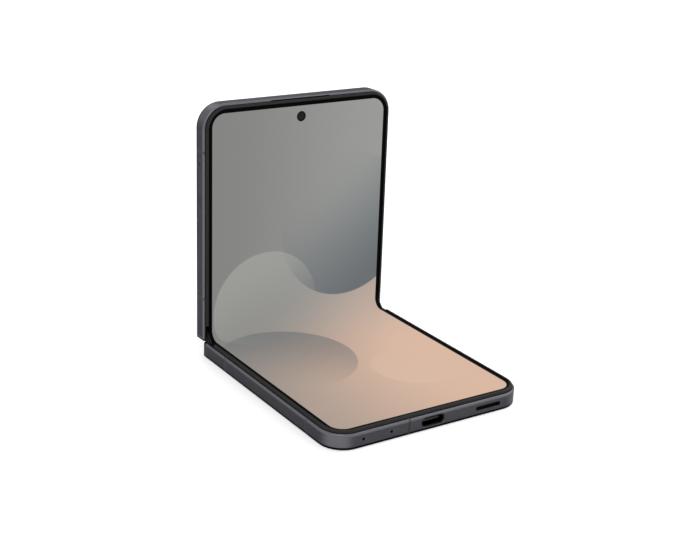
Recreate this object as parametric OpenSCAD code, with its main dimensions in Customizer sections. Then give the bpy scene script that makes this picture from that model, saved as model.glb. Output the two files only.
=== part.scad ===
// Foldable smartphone, half open: two aluminium halves on a geared two-axis hinge.
// Flat coordinates: X across, Y along, Z out of the screen; z = 0 on the screen trim, y = 0 on the fold.
// Half coordinates: s runs from the fold line to the end of one half. The lower half is the mirror of them.
// Every piece is drawn flat, and the place modules then fold it to the pose in the picture.

/* [Body] */
// Width of the body
body_w = 75.2; // [74:0.1:78]
// Length of each half, from the fold line to its end
half_len = 83.35; // [83:0.05:88]
// Thickness of each half, with its screen trim
body_t = 6.5; // [6.4:0.05:7.2]
// Radius of the outer corners
corner_r = 8.4; // [8:0.1:10]
// Rounding along the front edge of the metal
front_round = 0.45; // [0.3:0.05:0.5]
// Rounding along the back edge of the metal
back_round = 0.85; // [0.4:0.05:1]
// Thickness of the side walls
wall = 1.9; // [1.8:0.05:2.1]
// Thickness of the rear glass
back_t = 0.6; // [0.45:0.05:0.7]
// Flat metal between the back rounding and the rear glass
back_land = 0.1; // [0.05:0.05:0.4]

/* [Screen] */
// Height of the screen trim above the metal
trim_proud = 0.9; // [0.7:0.05:1]
// Width of the metal lip outside the screen trim
metal_lip = 0.7; // [0.55:0.05:0.8]
// Width of the screen trim
trim_w = 1; // [0.8:0.05:1.05]
// Distance from the fold line to the end of the trim
trim_end = 5.6; // [5.4:0.1:8]
// Depth of the screen surface below the trim
screen_recess = 0.3; // [0.25:0.05:0.35]
// Thickness of the screen
screen_t = 0.4; // [0.3:0.05:0.45]
// Radius of the screen's bend in the half-open pose
fold_r = 3.67; // [3.4:0.01:3.9]
// Radius of the front camera's window
camera_hole_r = 1.8; // [1.5:0.1:2.2]
// Distance from the end of the upper half to the front camera
camera_from_end = 6.75; // [6.4:0.05:8]

/* [Hinge] */
// Fold of each half against the spine in the modelled pose
rest_fold = 44.4; // [40:0.1:48]
// Distance of each hinge axis from the fold line
axis_half_gap = 2.05; // [2:0.01:2.1]
// Depth of the hinge axes below the screen trim
axis_depth = 1.7; // [1.65:0.01:1.75]
// Distance of the spine's ends from the outer sides
spine_recess = 2.2; // [1.8:0.1:2.5]
// Clearance between the spine and the halves
spine_gap = 0.1; // [0.08:0.01:0.15]
// Thickness of the spine's shell
spine_wall = 0.45; // [0.35:0.05:0.5]
// Width of each arc rail
rail_w = 3; // [2.5:0.1:3.4]
// Radial thickness of each arc rail
rail_t = 0.9; // [0.7:0.05:1]
// Running clearance of rails, keys and the card tray
run_gap = 0.1; // [0.08:0.01:0.14]
// Distance of each rail block from the middle
block_x = 24; // [23:0.5:24.5]
// Teeth of each whole sector gear and of each idler gear
sector_teeth = 20; // [20:20]
idler_teeth = 8; // [8:8]
// Face width of the synchronising gears
gear_w = 3.2; // [2.5:0.1:3.4]
// Diameter of the idler pins
pin_d = 0.5; // [0.4:0.05:0.6]

/* [Keys and ports] */
// Length of the side key
side_key_l = 12.4; // [11:0.1:14]
// Distance from the fold line to the middle of the side key
side_key_s = 30; // [27:0.5:31]
// Length of the volume key
volume_key_l = 20; // [17:0.5:22]
// Distance from the fold line to the middle of the volume key
volume_key_s = 51; // [50:0.5:55]
// Height of both keys
key_h = 2.2; // [1.8:0.1:2.4]
// Height of the keys above the side wall
key_proud = 0.3; // [0.2:0.05:0.4]
// Length of the card tray's head
tray_l = 17.4; // [16.8:0.1:18]
// Distance from the end of the upper half to the middle of the card tray
tray_from_end = 26.45; // [25.5:0.05:27]
// Width of the port's opening
port_w = 9; // [8.8:0.05:9.2]
// Height of the port's opening
port_h = 3.3; // [3.1:0.05:3.4]
// Length of the speaker slot
speaker_l = 10; // [8:0.5:11]
// Height of the speaker slot
speaker_h = 1.4; // [1:0.1:1.5]
// Diameter of the microphone holes
mic_d = 1; // [0.8:0.1:1.2]
// Length of the earpiece slot
earpiece_l = 24; // [20:1:28]

/* [Rear cameras] */
// Radius of the camera rings
ring_r = 6.4; // [6:0.1:6.6]
// Height of the camera rings above the cover glass
ring_proud = 1; // [0.6:0.1:1.4]
// Distance between the two cameras
camera_pitch = 15; // [14.5:0.5:16]
// Distance from the side of the body to the outer camera
camera_from_side = 12.6; // [12:0.1:13]
// Distance from the end of the upper half to the cameras
cameras_from_end = 12.6; // [12:0.1:13]

/* [Hidden] */

// Levels, measured up from the screen trim
z_metal = -trim_proud;
z_ledge = z_metal - 0.45;
z_screen = -screen_recess;
z_screen_under = z_screen - screen_t;
wing_t = 0.25;
z_wing_under = z_screen_under - wing_t;
bracket_t = 0.65;
z_bracket_under = z_wing_under - bracket_t;
midplate_t = 0.6;
z_mid_under = z_screen_under - midplate_t;
z_back_in = -body_t + back_t;
back_border = back_round + back_land;
beam_bevel = 0.35;
part_gap = 0.2;
z_parts = z_mid_under - part_gap;
board_t = 0.8;
z_board_under = z_parts - board_t;
z_mid_side = (z_metal - body_t) / 2 + 0.2;

// Hinge axes and the spine's radii about them
z_axis = -axis_depth;
d = axis_half_gap;
pocket_r = -z_back_in - axis_depth;
spine_r = pocket_r - spine_gap;
spine_in_r = spine_r - spine_wall;
pocket_s = d + pocket_r;
fold_gap = 0.05;
end_wall = 1;
spine_half_l = body_w / 2 - spine_recess;
cap_end = body_w / 2 - end_wall - 0.2;
cap_gap = 0.4;
spine_end_t = 0.8;
z_spine_top = z_axis - 0.05;
z_trough = z_axis - spine_in_r;
rail_out_r = spine_in_r - 0.55;
rail_in_r = rail_out_r - rail_t;
rail_from_middle = 1.2;
core_in_r = 1.2;
block_half_l = 6.2;
rail_angles = [-150, 12];

// Display fold in the modelled pose: the flat panels end where the bend's arc touches them
screen_h = z_screen - z_axis;
apex_a = (d - screen_h * sin(rest_fold)) / cos(rest_fold);
apex_z = z_axis - apex_a * sin(rest_fold) + screen_h * cos(rest_fold);
bend_z = apex_z + fold_r / cos(rest_fold);
panel_start = d - (apex_a - fold_r * tan(rest_fold));

// Frame and hinge beam
glass_start = 3.2;
glass_gap = 0.05;
beam_end = 9.4;
plate_end = 12;
shelf_w = 0.6;
shelf_h = 0.8;
trim_gap = 0.1;
trim_bevel = 0.15;
trim_inset = metal_lip + trim_gap;
screen_inset = trim_inset + trim_w + 0.05;

// Synchronising gears: two sectors and four idlers in a line below the axes
gear_m = 2 * d / (3 * idler_teeth);
sector_r = gear_m * sector_teeth / 2;
idler_r = gear_m * idler_teeth / 2;
z_idler = z_axis - sector_r - idler_r;
gear_ratio = sector_teeth / idler_teeth;
pressure = 22;
tooth_add = 0.8;
tooth_ded = 1.15;
backlash = 0.07;
bore_gap = 0.03;
cheek_t = 1.6;
cheek_gap = 0.15;
base_half_l = 15.5;
base_t = 0.35;
pin_half_l = 14.6;
stop_t = 1.2;

// Screws
screw_r = 0.4;
head_r = 0.8;
head_h = 0.35;
screw_gap = 0.03;
plate_screw_x = [-28.5, -16, -8, 8, 16, 28.5];
plate_screw_s = 7.9;
screw_depth = 2;

// Side fittings
tray_s = half_len - tray_from_end;
flange = 0.5;
key_seat_depth = 1;
key_flange_t = 0.45;
side_key_play = 0.05;
volume_key_play = 0.3;
switch_gap = 0.3;
tray_head_t = 1.2;
tray_h = 2.4;
tray_plate_t = 0.8;
tray_depth = 14.2;
pin_hole_d = 0.8;
pin_hole_from_end = 2.5;
port_x = 0;
z_port = -3.5;
port_shell_t = 0.3;
port_depth = 7.7;
port_recess = 0.35;
port_bevel = 0.2;
speaker_slot_r = 0.35;
earpiece_w = 1.15;
earpiece_lip = 0.35;
earpiece_s = half_len - earpiece_lip - earpiece_w / 2;
end_bevel = 0.25;
speaker_from_side = 15.3;
speaker_x = body_w / 2 - speaker_from_side;
mic_from_side = [11, 21.5];
mic_x = [for (m = mic_from_side) m - body_w / 2];
mesh_t = 0.25;

// Antenna breaks: half width, depth, and places as photographed
break_w = 0.9;
break_depth = 1.2;
lower_break_s = [15.3, half_len - 15.7];
lower_break_x = [28.3 - body_w / 2];
upper_break_s = [15.6, half_len - 15.85];

// Rear cameras
cams_x = [body_w / 2 - camera_from_side, body_w / 2 - camera_from_side - camera_pitch];
cams_s = half_len - cameras_from_end;
flash_x = cams_x[1] - 10.8;
barrel_r = ring_r - 1.9;

// Inner pieces, placed from the walls that they lie beside
inner_half = body_w / 2 - wall;
side_gap = 2.7;
battery_start = plate_end + 2;
battery_back = -5.2;
speaker_box = [-6.8, 7.7];
speaker_back = -5.6;
speaker_box_from_end = 25.35;
lower_battery_end = half_len - speaker_box_from_end - 2.5;
lower_shield_h = 1.5;
coil_r = [11, 20];
coil_t = 0.4;
coil_back = z_back_in + 0.2;
tongue_t = 0.7;
tongue_side_gap = 1.1;
mic_box = [3.2, 3.8, 1.9];
upper_battery_end = tray_s - 11.9;
key_space = 4.5;
camera_body = 11.6;
camera_gap = 0.5;
front_camera_body = 5.2;
upper_shield_h = 1.6;
shield_l = 13;
shield_gap = 3;
shield_s = tray_s - 2.9;
motor_box = [10, 5.7];
motor_s = tray_s + 10.4;
window_l = 12.4;
window_w = 9;
window_edge = 2.6;

// Flexible cables across the hinge
flex_from_middle = (block_x + block_half_l + spine_half_l - spine_end_t) / 2;
flex_x = [-flex_from_middle, flex_from_middle];
flex_w = 4;
flex_t = 0.14;
flex_r = 1.2;
flex_h = 0.4;
flex_end = plate_end - 0.4;
flex_tail = 1.9;

big = 200;
fine = 96;

// Placing

// Moves a flat piece of the lower half to its place on the table
module place_lower() {
    translate([0, half_len / 2, body_t]) children();
}

// Turns what it holds about an axis along X through (y, z)
module turn_about(y, z, angle) {
    translate([0, y, z]) rotate([angle, 0, 0]) translate([0, -y, -z]) children();
}

module place_spine() {
    place_lower() turn_about(-d, z_axis, rest_fold) children();
}

module place_upper() {
    place_spine() turn_about(d, z_axis, rest_fold) children();
}

// Half coordinates to the lower half, which is their mirror
module lower() {
    place_lower() mirror([0, 1, 0]) children();
}

module upper() {
    place_upper() children();
}

// Building blocks

// Extrudes a drawing made in (s, z) along X, from x0 to x1
module along_x(x0, x1) {
    translate([x0, 0, 0]) rotate([90, 0, 90]) linear_extrude(x1 - x0) children();
}

// Extrudes a drawing made in (x, z) along s, from s0 to s1
module along_s(s0, s1) {
    translate([0, s1, 0]) rotate([90, 0, 0]) linear_extrude(s1 - s0) children();
}

// Extrudes a drawing made in (x, s) upward, from z0 to z1
module upward(z0, z1) {
    translate([0, 0, z0]) linear_extrude(z1 - z0) children();
}

module box(x, s, z) {
    translate([x[0], s[0], z[0]]) cube([x[1] - x[0], s[1] - s[0], z[1] - z[0]]);
}

// Slot outline, w long and h high, centred
module stadium(w, h) {
    square([w - h, h], center = true);
    for (side = [-1, 1]) translate([side * (w - h) / 2, 0]) circle(d = h, $fn = 48);
}

module rounded_rect(w, l, r) {
    square([w - 2 * r, l], center = true);
    square([w, l - 2 * r], center = true);
    for (a = [-1, 1], b = [-1, 1]) translate([a * (w / 2 - r), b * (l / 2 - r)]) circle(r, $fn = 48);
}

// Outline of one half, inset from the outer edge, square at s0 and rounded at the end
module half_outline(inset, s0) {
    w = body_w - 2 * inset;
    l = half_len - inset;
    r = corner_r - inset;
    translate([-w / 2, s0]) square([w, l - r - s0]);
    translate([-w / 2 + r, l - r - 0.5]) square([w - 2 * r, r + 0.5]);
    for (side = [-1, 1]) translate([side * (w / 2 - r), l - r]) circle(r, $fn = fine);
}

// Sweeps a wall section round three sides; in the section x = 0 is the outer edge and y is the level
module around_half(s0) {
    straight = half_len - corner_r;
    for (side = [0, 1]) mirror([side, 0, 0]) {
        translate([body_w / 2, 0, 0]) along_s(s0, straight) children();
        translate([body_w / 2 - corner_r, straight, 0])
            rotate_extrude(angle = 90, $fn = fine) translate([corner_r, 0]) children();
    }
    translate([0, half_len, 0]) along_x(-body_w / 2 + corner_r, body_w / 2 - corner_r) children();
}

// Rounds the outer corners of a wall section at the front and at the back
module rounded_edges() {
    difference() {
        children();
        translate([-front_round, z_metal - front_round]) edge_cut(front_round);
        translate([-back_round, -body_t + back_round]) mirror([0, 1]) edge_cut(back_round);
    }
}

// What lies outside a quarter round about the origin
module edge_cut(r) {
    difference() {
        square([2 * r, 2 * r]);
        circle(r, $fn = fine);
    }
}

module frame_section() {
    rounded_edges() polygon([
        [0, z_metal], [0, -body_t], [-back_border, -body_t], [-back_border, z_back_in], [-wall, z_back_in],
        [-wall, z_mid_under - shelf_h], [-wall - shelf_w, z_mid_under - shelf_h],
        [-wall - shelf_w, z_mid_under], [-wall, z_mid_under], [-wall, z_ledge],
        [-metal_lip, z_ledge], [-metal_lip, z_metal]
    ]);
}

// Outer skin of the wall down to a depth, for the antenna breaks
module skin_section(depth) {
    rounded_edges() polygon([
        [0, z_metal], [0, -body_t], [-back_border, -body_t], [-back_border, z_back_in], [-depth, z_back_in],
        [-depth, z_ledge], [-metal_lip, z_ledge], [-metal_lip, z_metal]
    ]);
}

module trim_section() {
    polygon([
        [-trim_inset, z_ledge], [-trim_inset, -trim_bevel], [-trim_inset - trim_bevel, 0],
        [-trim_inset - trim_w + trim_bevel, 0], [-trim_inset - trim_w, -trim_bevel],
        [-trim_inset - trim_w, z_ledge]
    ]);
}

// Beam across the hinge end, hollowed for the spine, in (s, z)
module beam_section() {
    difference() {
        polygon([
            [fold_gap, -body_t + beam_bevel], [fold_gap + beam_bevel, -body_t],
            [glass_start, -body_t], [glass_start, z_back_in], [beam_end, z_back_in],
            [beam_end, z_bracket_under], [fold_gap, z_bracket_under]
        ]);
        pocket_section();
    }
}

// Space of the spine in one half: round about the axis, flat under the fold line, open to the screen
module pocket_section() {
    translate([d, z_axis]) circle(pocket_r, $fn = fine);
    translate([-1, z_axis - pocket_r]) square([d + 1, big]);
    translate([-1, z_axis]) square([pocket_s + 1, big]);
}

// Corner of the wall end that would cross the fold plane when it turns
module relief_section() {
    difference() {
        translate([-1, z_axis]) square([d + 1, big]);
        translate([d, z_axis]) circle(d - fold_gap, $fn = fine);
    }
}

module frame_body() {
    beam_half = body_w / 2 - wall + 0.3;
    difference() {
        union() {
            around_half(fold_gap) frame_section();
            along_x(-beam_half, beam_half) beam_section();
        }
        along_x(-body_w / 2 + end_wall, body_w / 2 - end_wall) pocket_section();
        along_x(-body_w, body_w) relief_section();
        for (side = [0, 1]) mirror([side, 0, 0]) upward(-body_t - 1, 1) translate([body_w / 2, fold_gap]) polygon([
            [-end_bevel, -1], [1, -1], [1, 1 + end_bevel], [0, end_bevel], [-end_bevel, 0]
        ]);
        plate_screws(screw_gap);
    }
}

// Stadium cut whose mouth widens by the bevel, from s0 out to the far end's face
module bevelled_slot(w, h, s0, bevel) {
    r = h / 2;
    along_s(s0, half_len + 1) stadium(w, h);
    for (side = [-1, 1]) translate([side * (w / 2 - r), half_len - bevel, 0])
        rotate([-90, 0, 0]) cylinder(r1 = r, r2 = r + 2 * bevel, h = 2 * bevel, $fn = 48);
    along_x(-w / 2 + r, w / 2 - r) polygon([
        [half_len - bevel, -r], [half_len + bevel, -r - 2 * bevel],
        [half_len + bevel, r + 2 * bevel], [half_len - bevel, r]
    ]);
}

// Slabs across both side walls, and across the end wall, where the antenna breaks lie
module break_slabs(side_s, end_x) {
    for (s = side_s) box([-body_w, body_w], [s - break_w / 2, s + break_w / 2], [-body_t - 1, 1]);
    for (x = end_x) box([x - break_w / 2, x + break_w / 2], [half_len / 2, half_len + 1], [-body_t - 1, 1]);
}

module break_strips(side_s, end_x) {
    intersection() {
        around_half(fold_gap) skin_section(break_depth);
        break_slabs(side_s, end_x);
    }
}

// Screen trim, with a rounded end at each side of the fold
module trim() {
    end_r = trim_w / 2;
    around_half(trim_end + end_r) trim_section();
    for (side = [-1, 1]) translate([side * (body_w / 2 - trim_inset - end_r), trim_end + end_r, 0])
        rotate_extrude($fn = 48) polygon([
            [0, z_ledge], [end_r, z_ledge], [end_r, -trim_bevel], [end_r - trim_bevel, 0], [0, 0]
        ]);
}

module midplate() {
    difference() {
        upward(z_mid_under, z_screen_under) half_outline(wall + 0.05, plate_end + 0.1);
        children();
    }
}

module back_plate() {
    difference() {
        upward(-body_t, z_back_in) half_outline(back_border + glass_gap, glass_start + glass_gap);
        children();
    }
}

module screen_panel() {
    difference() {
        upward(z_screen_under, z_screen) half_outline(screen_inset, panel_start);
        children();
    }
}

// Screws that hold the hinge bracket on the beam; a larger gap cuts their holes
module plate_screws(gap) {
    for (x = plate_screw_x) translate([x, plate_screw_s, z_wing_under]) {
        translate([0, 0, -head_h - gap]) cylinder(r = head_r + gap, h = head_h + 2 * gap, $fn = 32);
        translate([0, 0, -screw_depth - gap]) cylinder(r = screw_r + gap, h = screw_depth, $fn = 32);
    }
}

// Ring sector in (s, z) about the hinge axis, between two directions
module ring_sector(r0, r1, from, to) {
    intersection() {
        difference() {
            circle(r1, $fn = fine);
            circle(r0, $fn = fine);
        }
        steps = ceil((to - from) / 60);
        reach = 2 * r1;
        polygon(concat([[0, 0]], [
            for (i = [0 : steps]) let (t = from + (to - from) * i / steps) [reach * cos(t), reach * sin(t)]
        ]));
    }
}

// Involute tooth: half its width in degrees at radius r, on a gear of n teeth
function involute(a) = tan(a) * 180 / PI - a;
function tooth_half(n, r) =
    let (pitch_r = gear_m * n / 2, base_r = pitch_r * cos(pressure))
    90 / n - backlash / 2 / pitch_r * 90 / PI + involute(pressure) - involute(acos(min(1, base_r / r)));

// Outline points of one tooth of a gear of n teeth, from its left root to its right root
function tooth_points(n, at) =
    let (
        pitch_r = gear_m * n / 2,
        root_r = pitch_r - tooth_ded * gear_m,
        flank_r = max(pitch_r * cos(pressure), root_r),
        tip_r = pitch_r + tooth_add * gear_m,
        radii = concat([root_r], [for (i = [0 : 3]) flank_r + (tip_r - flank_r) * i / 3]),
        turns = [for (r = radii) tooth_half(n, r)]
    )
    concat(
        [for (i = [0 : 4]) [radii[i] * cos(at - turns[i]), radii[i] * sin(at - turns[i])]],
        [for (i = [4 : -1 : 0]) [radii[i] * cos(at + turns[i]), radii[i] * sin(at + turns[i])]]
    );

// Whole idler gear in (s, z), with a tooth at the given direction
module idler_outline(at) {
    difference() {
        polygon([for (k = [0 : idler_teeth - 1]) each tooth_points(idler_teeth, at + k * 360 / idler_teeth)]);
        circle(pin_d / 2 + bore_gap, $fn = 48);
    }
}

// Sector gear of one half, about the origin, with a tooth at -90 plus the given shift
module sector_outline(shift) {
    pitch = 360 / sector_teeth;
    difference() {
        union() {
            circle(sector_r - tooth_ded * gear_m, $fn = 64);
            for (k = [-5 : 0]) polygon(concat([[0, 0]], tooth_points(sector_teeth, -90 + shift + k * pitch)));
        }
        translate([-big / 2, z_wing_under - z_axis]) square([big, big]);
    }
}

// Hinge bracket: plate under the screen's wing, arms, arc rails and the sector gear
module bracket(rail_side, tooth_shift) {
    plate_x = block_x + block_half_l - 0.2;
    difference() {
        union() {
            box([-plate_x, plate_x], [pocket_s + 0.1, plate_end], [z_bracket_under, z_wing_under]);
            for (c = [-block_x, block_x]) {
                x0 = c + (rail_side > 0 ? rail_from_middle : -rail_from_middle - rail_w);
                along_x(x0, x0 + rail_w) translate([d, z_axis]) ring_sector(rail_in_r, rail_out_r, rail_angles[0], rail_angles[1]);
                box([x0, x0 + rail_w], [d + rail_in_r + 0.15, pocket_s + 0.2], [z_bracket_under, z_wing_under]);
            }
            along_x(-gear_w / 2, gear_w / 2) translate([d, z_axis]) sector_outline(tooth_shift);
            box([-gear_w / 2, gear_w / 2], [d, pocket_s + 0.2], [z_bracket_under, z_wing_under]);
        }
        plate_screws(screw_gap);
    }
}

module wing() {
    wing_half = body_w / 2 - screen_inset - 1.45;
    box([-wing_half, wing_half], [1.6, plate_end], [z_wing_under, z_screen_under]);
}

// Lower half

module lower_frame() color([0.30, 0.30, 0.33]) lower() difference() {
    frame_body();
    break_slabs_cut(lower_break_s, lower_break_x);
    translate([port_x, 0, z_port]) bevelled_slot(port_w, port_h, half_len - 3, port_bevel);
    translate([speaker_x, 0, z_mid_side]) {
        along_s(half_len - 3, half_len + 1) rounded_rect(speaker_l, speaker_h, speaker_slot_r);
        along_s(half_len - 3, half_len - 1.2) stadium(speaker_l + 1, speaker_h + 1);
    }
    for (x = mic_x) translate([x, 0, z_mid_side]) along_s(half_len - 3, half_len + 1) circle(d = mic_d, $fn = 32);
}

module break_slabs_cut(side_s, end_x) {
    intersection() {
        around_half(fold_gap) skin_section(break_depth);
        break_slabs(side_s, end_x);
    }
}

module lower_midplate() color([0.55, 0.56, 0.58]) lower() midplate();

module lower_back_glass() color([0.16, 0.16, 0.18]) lower() back_plate();

module lower_trim() color([0.10, 0.10, 0.11]) lower() trim();

module lower_screen() color([0.80, 0.66, 0.58]) lower() screen_panel();

module battery(x, s) {
    upward(battery_back, z_parts) translate([(x[0] + x[1]) / 2, (s[0] + s[1]) / 2]) rounded_rect(x[1] - x[0], s[1] - s[0], 1.5);
}

module lower_battery() color([0.12, 0.12, 0.13]) lower() battery([-inner_half + side_gap, inner_half - side_gap], [battery_start, lower_battery_end]);

module charging_coil() color([0.72, 0.42, 0.22]) lower() {
    upward(coil_back, coil_back + coil_t) translate([0, (battery_start + lower_battery_end) / 2]) difference() {
        circle(coil_r[1], $fn = fine);
        circle(coil_r[0], $fn = fine);
    }
}

// Lower board, notched for the port
module sub_board() color([0.05, 0.22, 0.12]) lower() upward(z_board_under, z_parts) difference() {
    x0 = -inner_half + side_gap + 1;
    s0 = half_len - speaker_box_from_end - 0.5;
    translate([x0, s0]) square([speaker_x + speaker_box[0] - 2.5 - x0, half_len - 4.5 - s0]);
    translate([port_x - port_w / 2 - 0.1, half_len - port_recess - port_depth]) square([port_w + 0.2, 20]);
}

module sub_board_shield() color([0.75, 0.75, 0.77]) lower() for (x = [-inner_half / 2, speaker_x - 18.3]) {
    upward(z_board_under - lower_shield_h, z_board_under)
        translate([x, half_len - speaker_box_from_end + 7.5]) rounded_rect(14, 12, 0.8);
}

module usb_port_shell() color([0.70, 0.70, 0.72]) lower() translate([port_x, 0, z_port]) {
    mouth = half_len - port_recess;
    difference() {
        along_s(mouth - port_depth, mouth) stadium(port_w - 0.1, port_h - 0.1);
        along_s(mouth - port_depth + 0.5, mouth + 1) stadium(port_w - 0.1 - 2 * port_shell_t, port_h - 0.1 - 2 * port_shell_t);
    }
}

module usb_port_tongue() color([0.08, 0.08, 0.09]) lower() translate([port_x, 0, z_port]) {
    mouth = half_len - port_recess;
    along_s(mouth - port_depth + 0.5, mouth - 1.2) square([port_w - 2 * tongue_side_gap, tongue_t], center = true);
}

module loudspeaker() color([0.14, 0.14, 0.15]) lower() {
    x = [for (b = speaker_box) speaker_x + b];
    box(x, [half_len - speaker_box_from_end, half_len - wall - 0.2], [speaker_back, z_board_under]);
}

module speaker_mesh() color([0.05, 0.05, 0.05]) lower() translate([speaker_x, 0, z_mid_side]) {
    along_s(half_len - 1.25 - mesh_t, half_len - 1.25) stadium(speaker_l + 0.9, speaker_h + 0.9);
}

module bottom_microphones() color([0.72, 0.70, 0.60]) lower() for (x = mic_x) {
    s1 = half_len - wall - 0.1;
    box([x - mic_box[0] / 2, x + mic_box[0] / 2], [s1 - mic_box[1], s1], [z_board_under - mic_box[2], z_board_under]);
}

module lower_antenna_breaks() color([0.22, 0.22, 0.24]) lower() break_strips(lower_break_s, lower_break_x);

module lower_hinge_bracket() color([0.62, 0.63, 0.65]) lower() bracket(-1, 0);

module lower_wing_plate() color([0.66, 0.67, 0.69]) lower() wing();

module lower_screws() color([0.80, 0.80, 0.82]) lower() plate_screws(0);

// Upper half

key_x = body_w / 2;

// Outline of a key as cut through the wall, seen along X
module key_body(l, h, x0, x1) {
    along_x(x0, x1) stadium(l, h);
}

module key_opening(s, l) translate([0, s, z_mid_side]) {
    key_body(l + 2 * run_gap, key_h + 2 * run_gap, key_x - 3, key_x + 1);
    key_body(l + 2 * flange + 4 * run_gap, key_h + 2 * flange + 4 * run_gap, key_x - 3, key_x - key_seat_depth);
}

module key(s, l, play) translate([0, s, z_mid_side]) {
    seat = key_x - key_seat_depth - play;
    key_body(l, key_h, seat - key_flange_t, key_x + key_proud);
    key_body(l + 2 * flange, key_h + 2 * flange, seat - key_flange_t, seat);
}

module upper_frame() color([0.30, 0.30, 0.33]) upper() difference() {
    frame_body();
    break_slabs_cut(upper_break_s, []);
    key_opening(side_key_s, side_key_l);
    key_opening(volume_key_s, volume_key_l);
    translate([-body_w / 2, tray_s, z_mid_side]) along_x(-1, 3) stadium(tray_l + 2 * run_gap, tray_h + 2 * run_gap);
    translate([0, earpiece_s, z_ledge - 0.3]) upward(0, 2) stadium(earpiece_l, earpiece_w);
}

module upper_midplate() color([0.55, 0.56, 0.58]) upper() midplate() {
    translate([0, half_len - camera_from_end, -3]) cylinder(r = camera_hole_r + 0.3, h = 4, $fn = 48);
}

module lens_holes(r, flash_r) {
    for (x = cams_x) translate([x, cams_s, -body_t - 1]) cylinder(r = r, h = 3, $fn = 64);
    translate([flash_x, cams_s, -body_t - 1]) cylinder(r = flash_r, h = 3, $fn = 48);
}

module cover_glass() color([0.05, 0.05, 0.06]) upper() back_plate() lens_holes(ring_r - 0.8, 1.5);

// Cover screen bonded behind the cover glass, cut round the cameras and the lamp
module cover_screen() color([0.03, 0.03, 0.04]) upper() difference() {
    upward(z_back_in, z_back_in + 0.4) half_outline(wall + 1.2, plate_end);
    lens_holes(ring_r - 0.5, 1.7);
}

module upper_trim() color([0.10, 0.10, 0.11]) upper() trim();

module upper_screen() color([0.56, 0.56, 0.55]) upper() screen_panel() {
    translate([0, half_len - camera_from_end, -3]) cylinder(r = camera_hole_r, h = 4, $fn = 64);
}

// Front camera: barrel under the window with its lens dome and board block
module front_camera() color([0.02, 0.02, 0.03]) upper() translate([0, half_len - camera_from_end, 0]) {
    r = camera_hole_r - 0.15;
    translate([0, 0, z_screen - 0.35]) cylinder(r = r, h = 0.3, $fn = 64);
    translate([0, 0, -3.6]) cylinder(r = r, h = 3.6 + z_screen - 0.3, $fn = 64);
    half = front_camera_body / 2;
    box([-half, half], [-half, half], [-4.2, z_parts]);
}

module upper_battery() color([0.12, 0.12, 0.13]) upper() battery([-inner_half + side_gap, inner_half - key_space], [battery_start, upper_battery_end]);

// Main board, stepped round the rear cameras
module main_board() color([0.05, 0.22, 0.12]) upper() upward(z_board_under, z_parts) {
    x0 = -inner_half + side_gap - 0.5;
    x1 = cams_x[1] - camera_body / 2 - camera_gap;
    s0 = upper_battery_end + 1;
    translate([x0, s0]) square([x1 - x0, half_len - camera_from_end - front_camera_body / 2 - 0.4 - s0]);
    translate([x1 - 1, s0]) square([inner_half - key_space + 0.3 - x1 + 1, cams_s - camera_body / 2 - camera_gap - s0]);
}

module board_shields() color([0.75, 0.75, 0.77]) upper() {
    x0 = -body_w / 2 + tray_head_t + tray_depth + 3.2;
    x1 = inner_half - key_space - 1.2;
    middle = (x0 + x1) / 2 - 3;
    for (x = [[x0, middle - shield_gap / 2], [middle + shield_gap / 2, x1]])
        upward(z_board_under - upper_shield_h, z_board_under)
            translate([(x[0] + x[1]) / 2, shield_s]) rounded_rect(x[1] - x[0], shield_l, 0.8);
}

// Rear camera: square housing and a round barrel that reaches into the ring
module rear_camera(x) translate([x, cams_s, 0]) {
    half = camera_body / 2;
    box([-half, half], [-half, half], [z_back_in + 0.5, z_parts]);
    translate([0, 0, -body_t - ring_proud + 0.6]) cylinder(r = barrel_r, h = body_t + ring_proud - 2.5, $fn = 64);
}

module rear_camera_main() color([0.06, 0.06, 0.07]) upper() rear_camera(cams_x[0]);

module rear_camera_wide() color([0.06, 0.06, 0.07]) upper() rear_camera(cams_x[1]);

module camera_rings() color([0.34, 0.34, 0.37]) upper() for (x = cams_x) translate([x, cams_s, 0])
    rotate_extrude($fn = fine) polygon([
        [ring_r - 1.5, -body_t - ring_proud], [ring_r - 0.3, -body_t - ring_proud],
        [ring_r, -body_t - ring_proud + 0.3], [ring_r, -body_t],
        [ring_r - 0.85, -body_t], [ring_r - 0.85, z_back_in], [ring_r - 1.5, z_back_in]
    ]);

module camera_lens_glass() color([0.02, 0.02, 0.03]) upper() for (x = cams_x) {
    translate([x, cams_s, -body_t - ring_proud + 0.15]) cylinder(r = ring_r - 1.55, h = 0.4, $fn = 64);
}

module flash_lamp() color([0.95, 0.90, 0.70]) upper() translate([flash_x, cams_s, 0]) {
    translate([0, 0, -body_t]) cylinder(r = 1.4, h = 0.9, $fn = 48);
    box([-1.8, 1.8], [-1.8, 1.8], [z_back_in + 0.5, z_board_under]);
}

module earpiece() color([0.14, 0.14, 0.15]) upper() {
    box([-6, 6], [half_len - 3.9, half_len - wall - 0.1], [-4, z_mid_under - shelf_h - 0.1]);
}

module earpiece_mesh() color([0.05, 0.05, 0.05]) upper() {
    translate([0, earpiece_s, z_ledge - 0.3]) upward(0, 0.25) stadium(earpiece_l - 0.1, earpiece_w - 0.1);
}

module vibration_motor() color([0.70, 0.70, 0.72]) upper() {
    x0 = -inner_half + side_gap;
    box([x0, x0 + motor_box[0]], [motor_s, motor_s + motor_box[1]], [battery_back, z_board_under]);
}

module upper_antenna_breaks() color([0.22, 0.22, 0.24]) upper() break_strips(upper_break_s, []);

module upper_hinge_bracket() color([0.62, 0.63, 0.65]) upper() bracket(1, 180 / sector_teeth);

module upper_wing_plate() color([0.66, 0.67, 0.69]) upper() wing();

module upper_screws() color([0.80, 0.80, 0.82]) upper() plate_screws(0);

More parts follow.
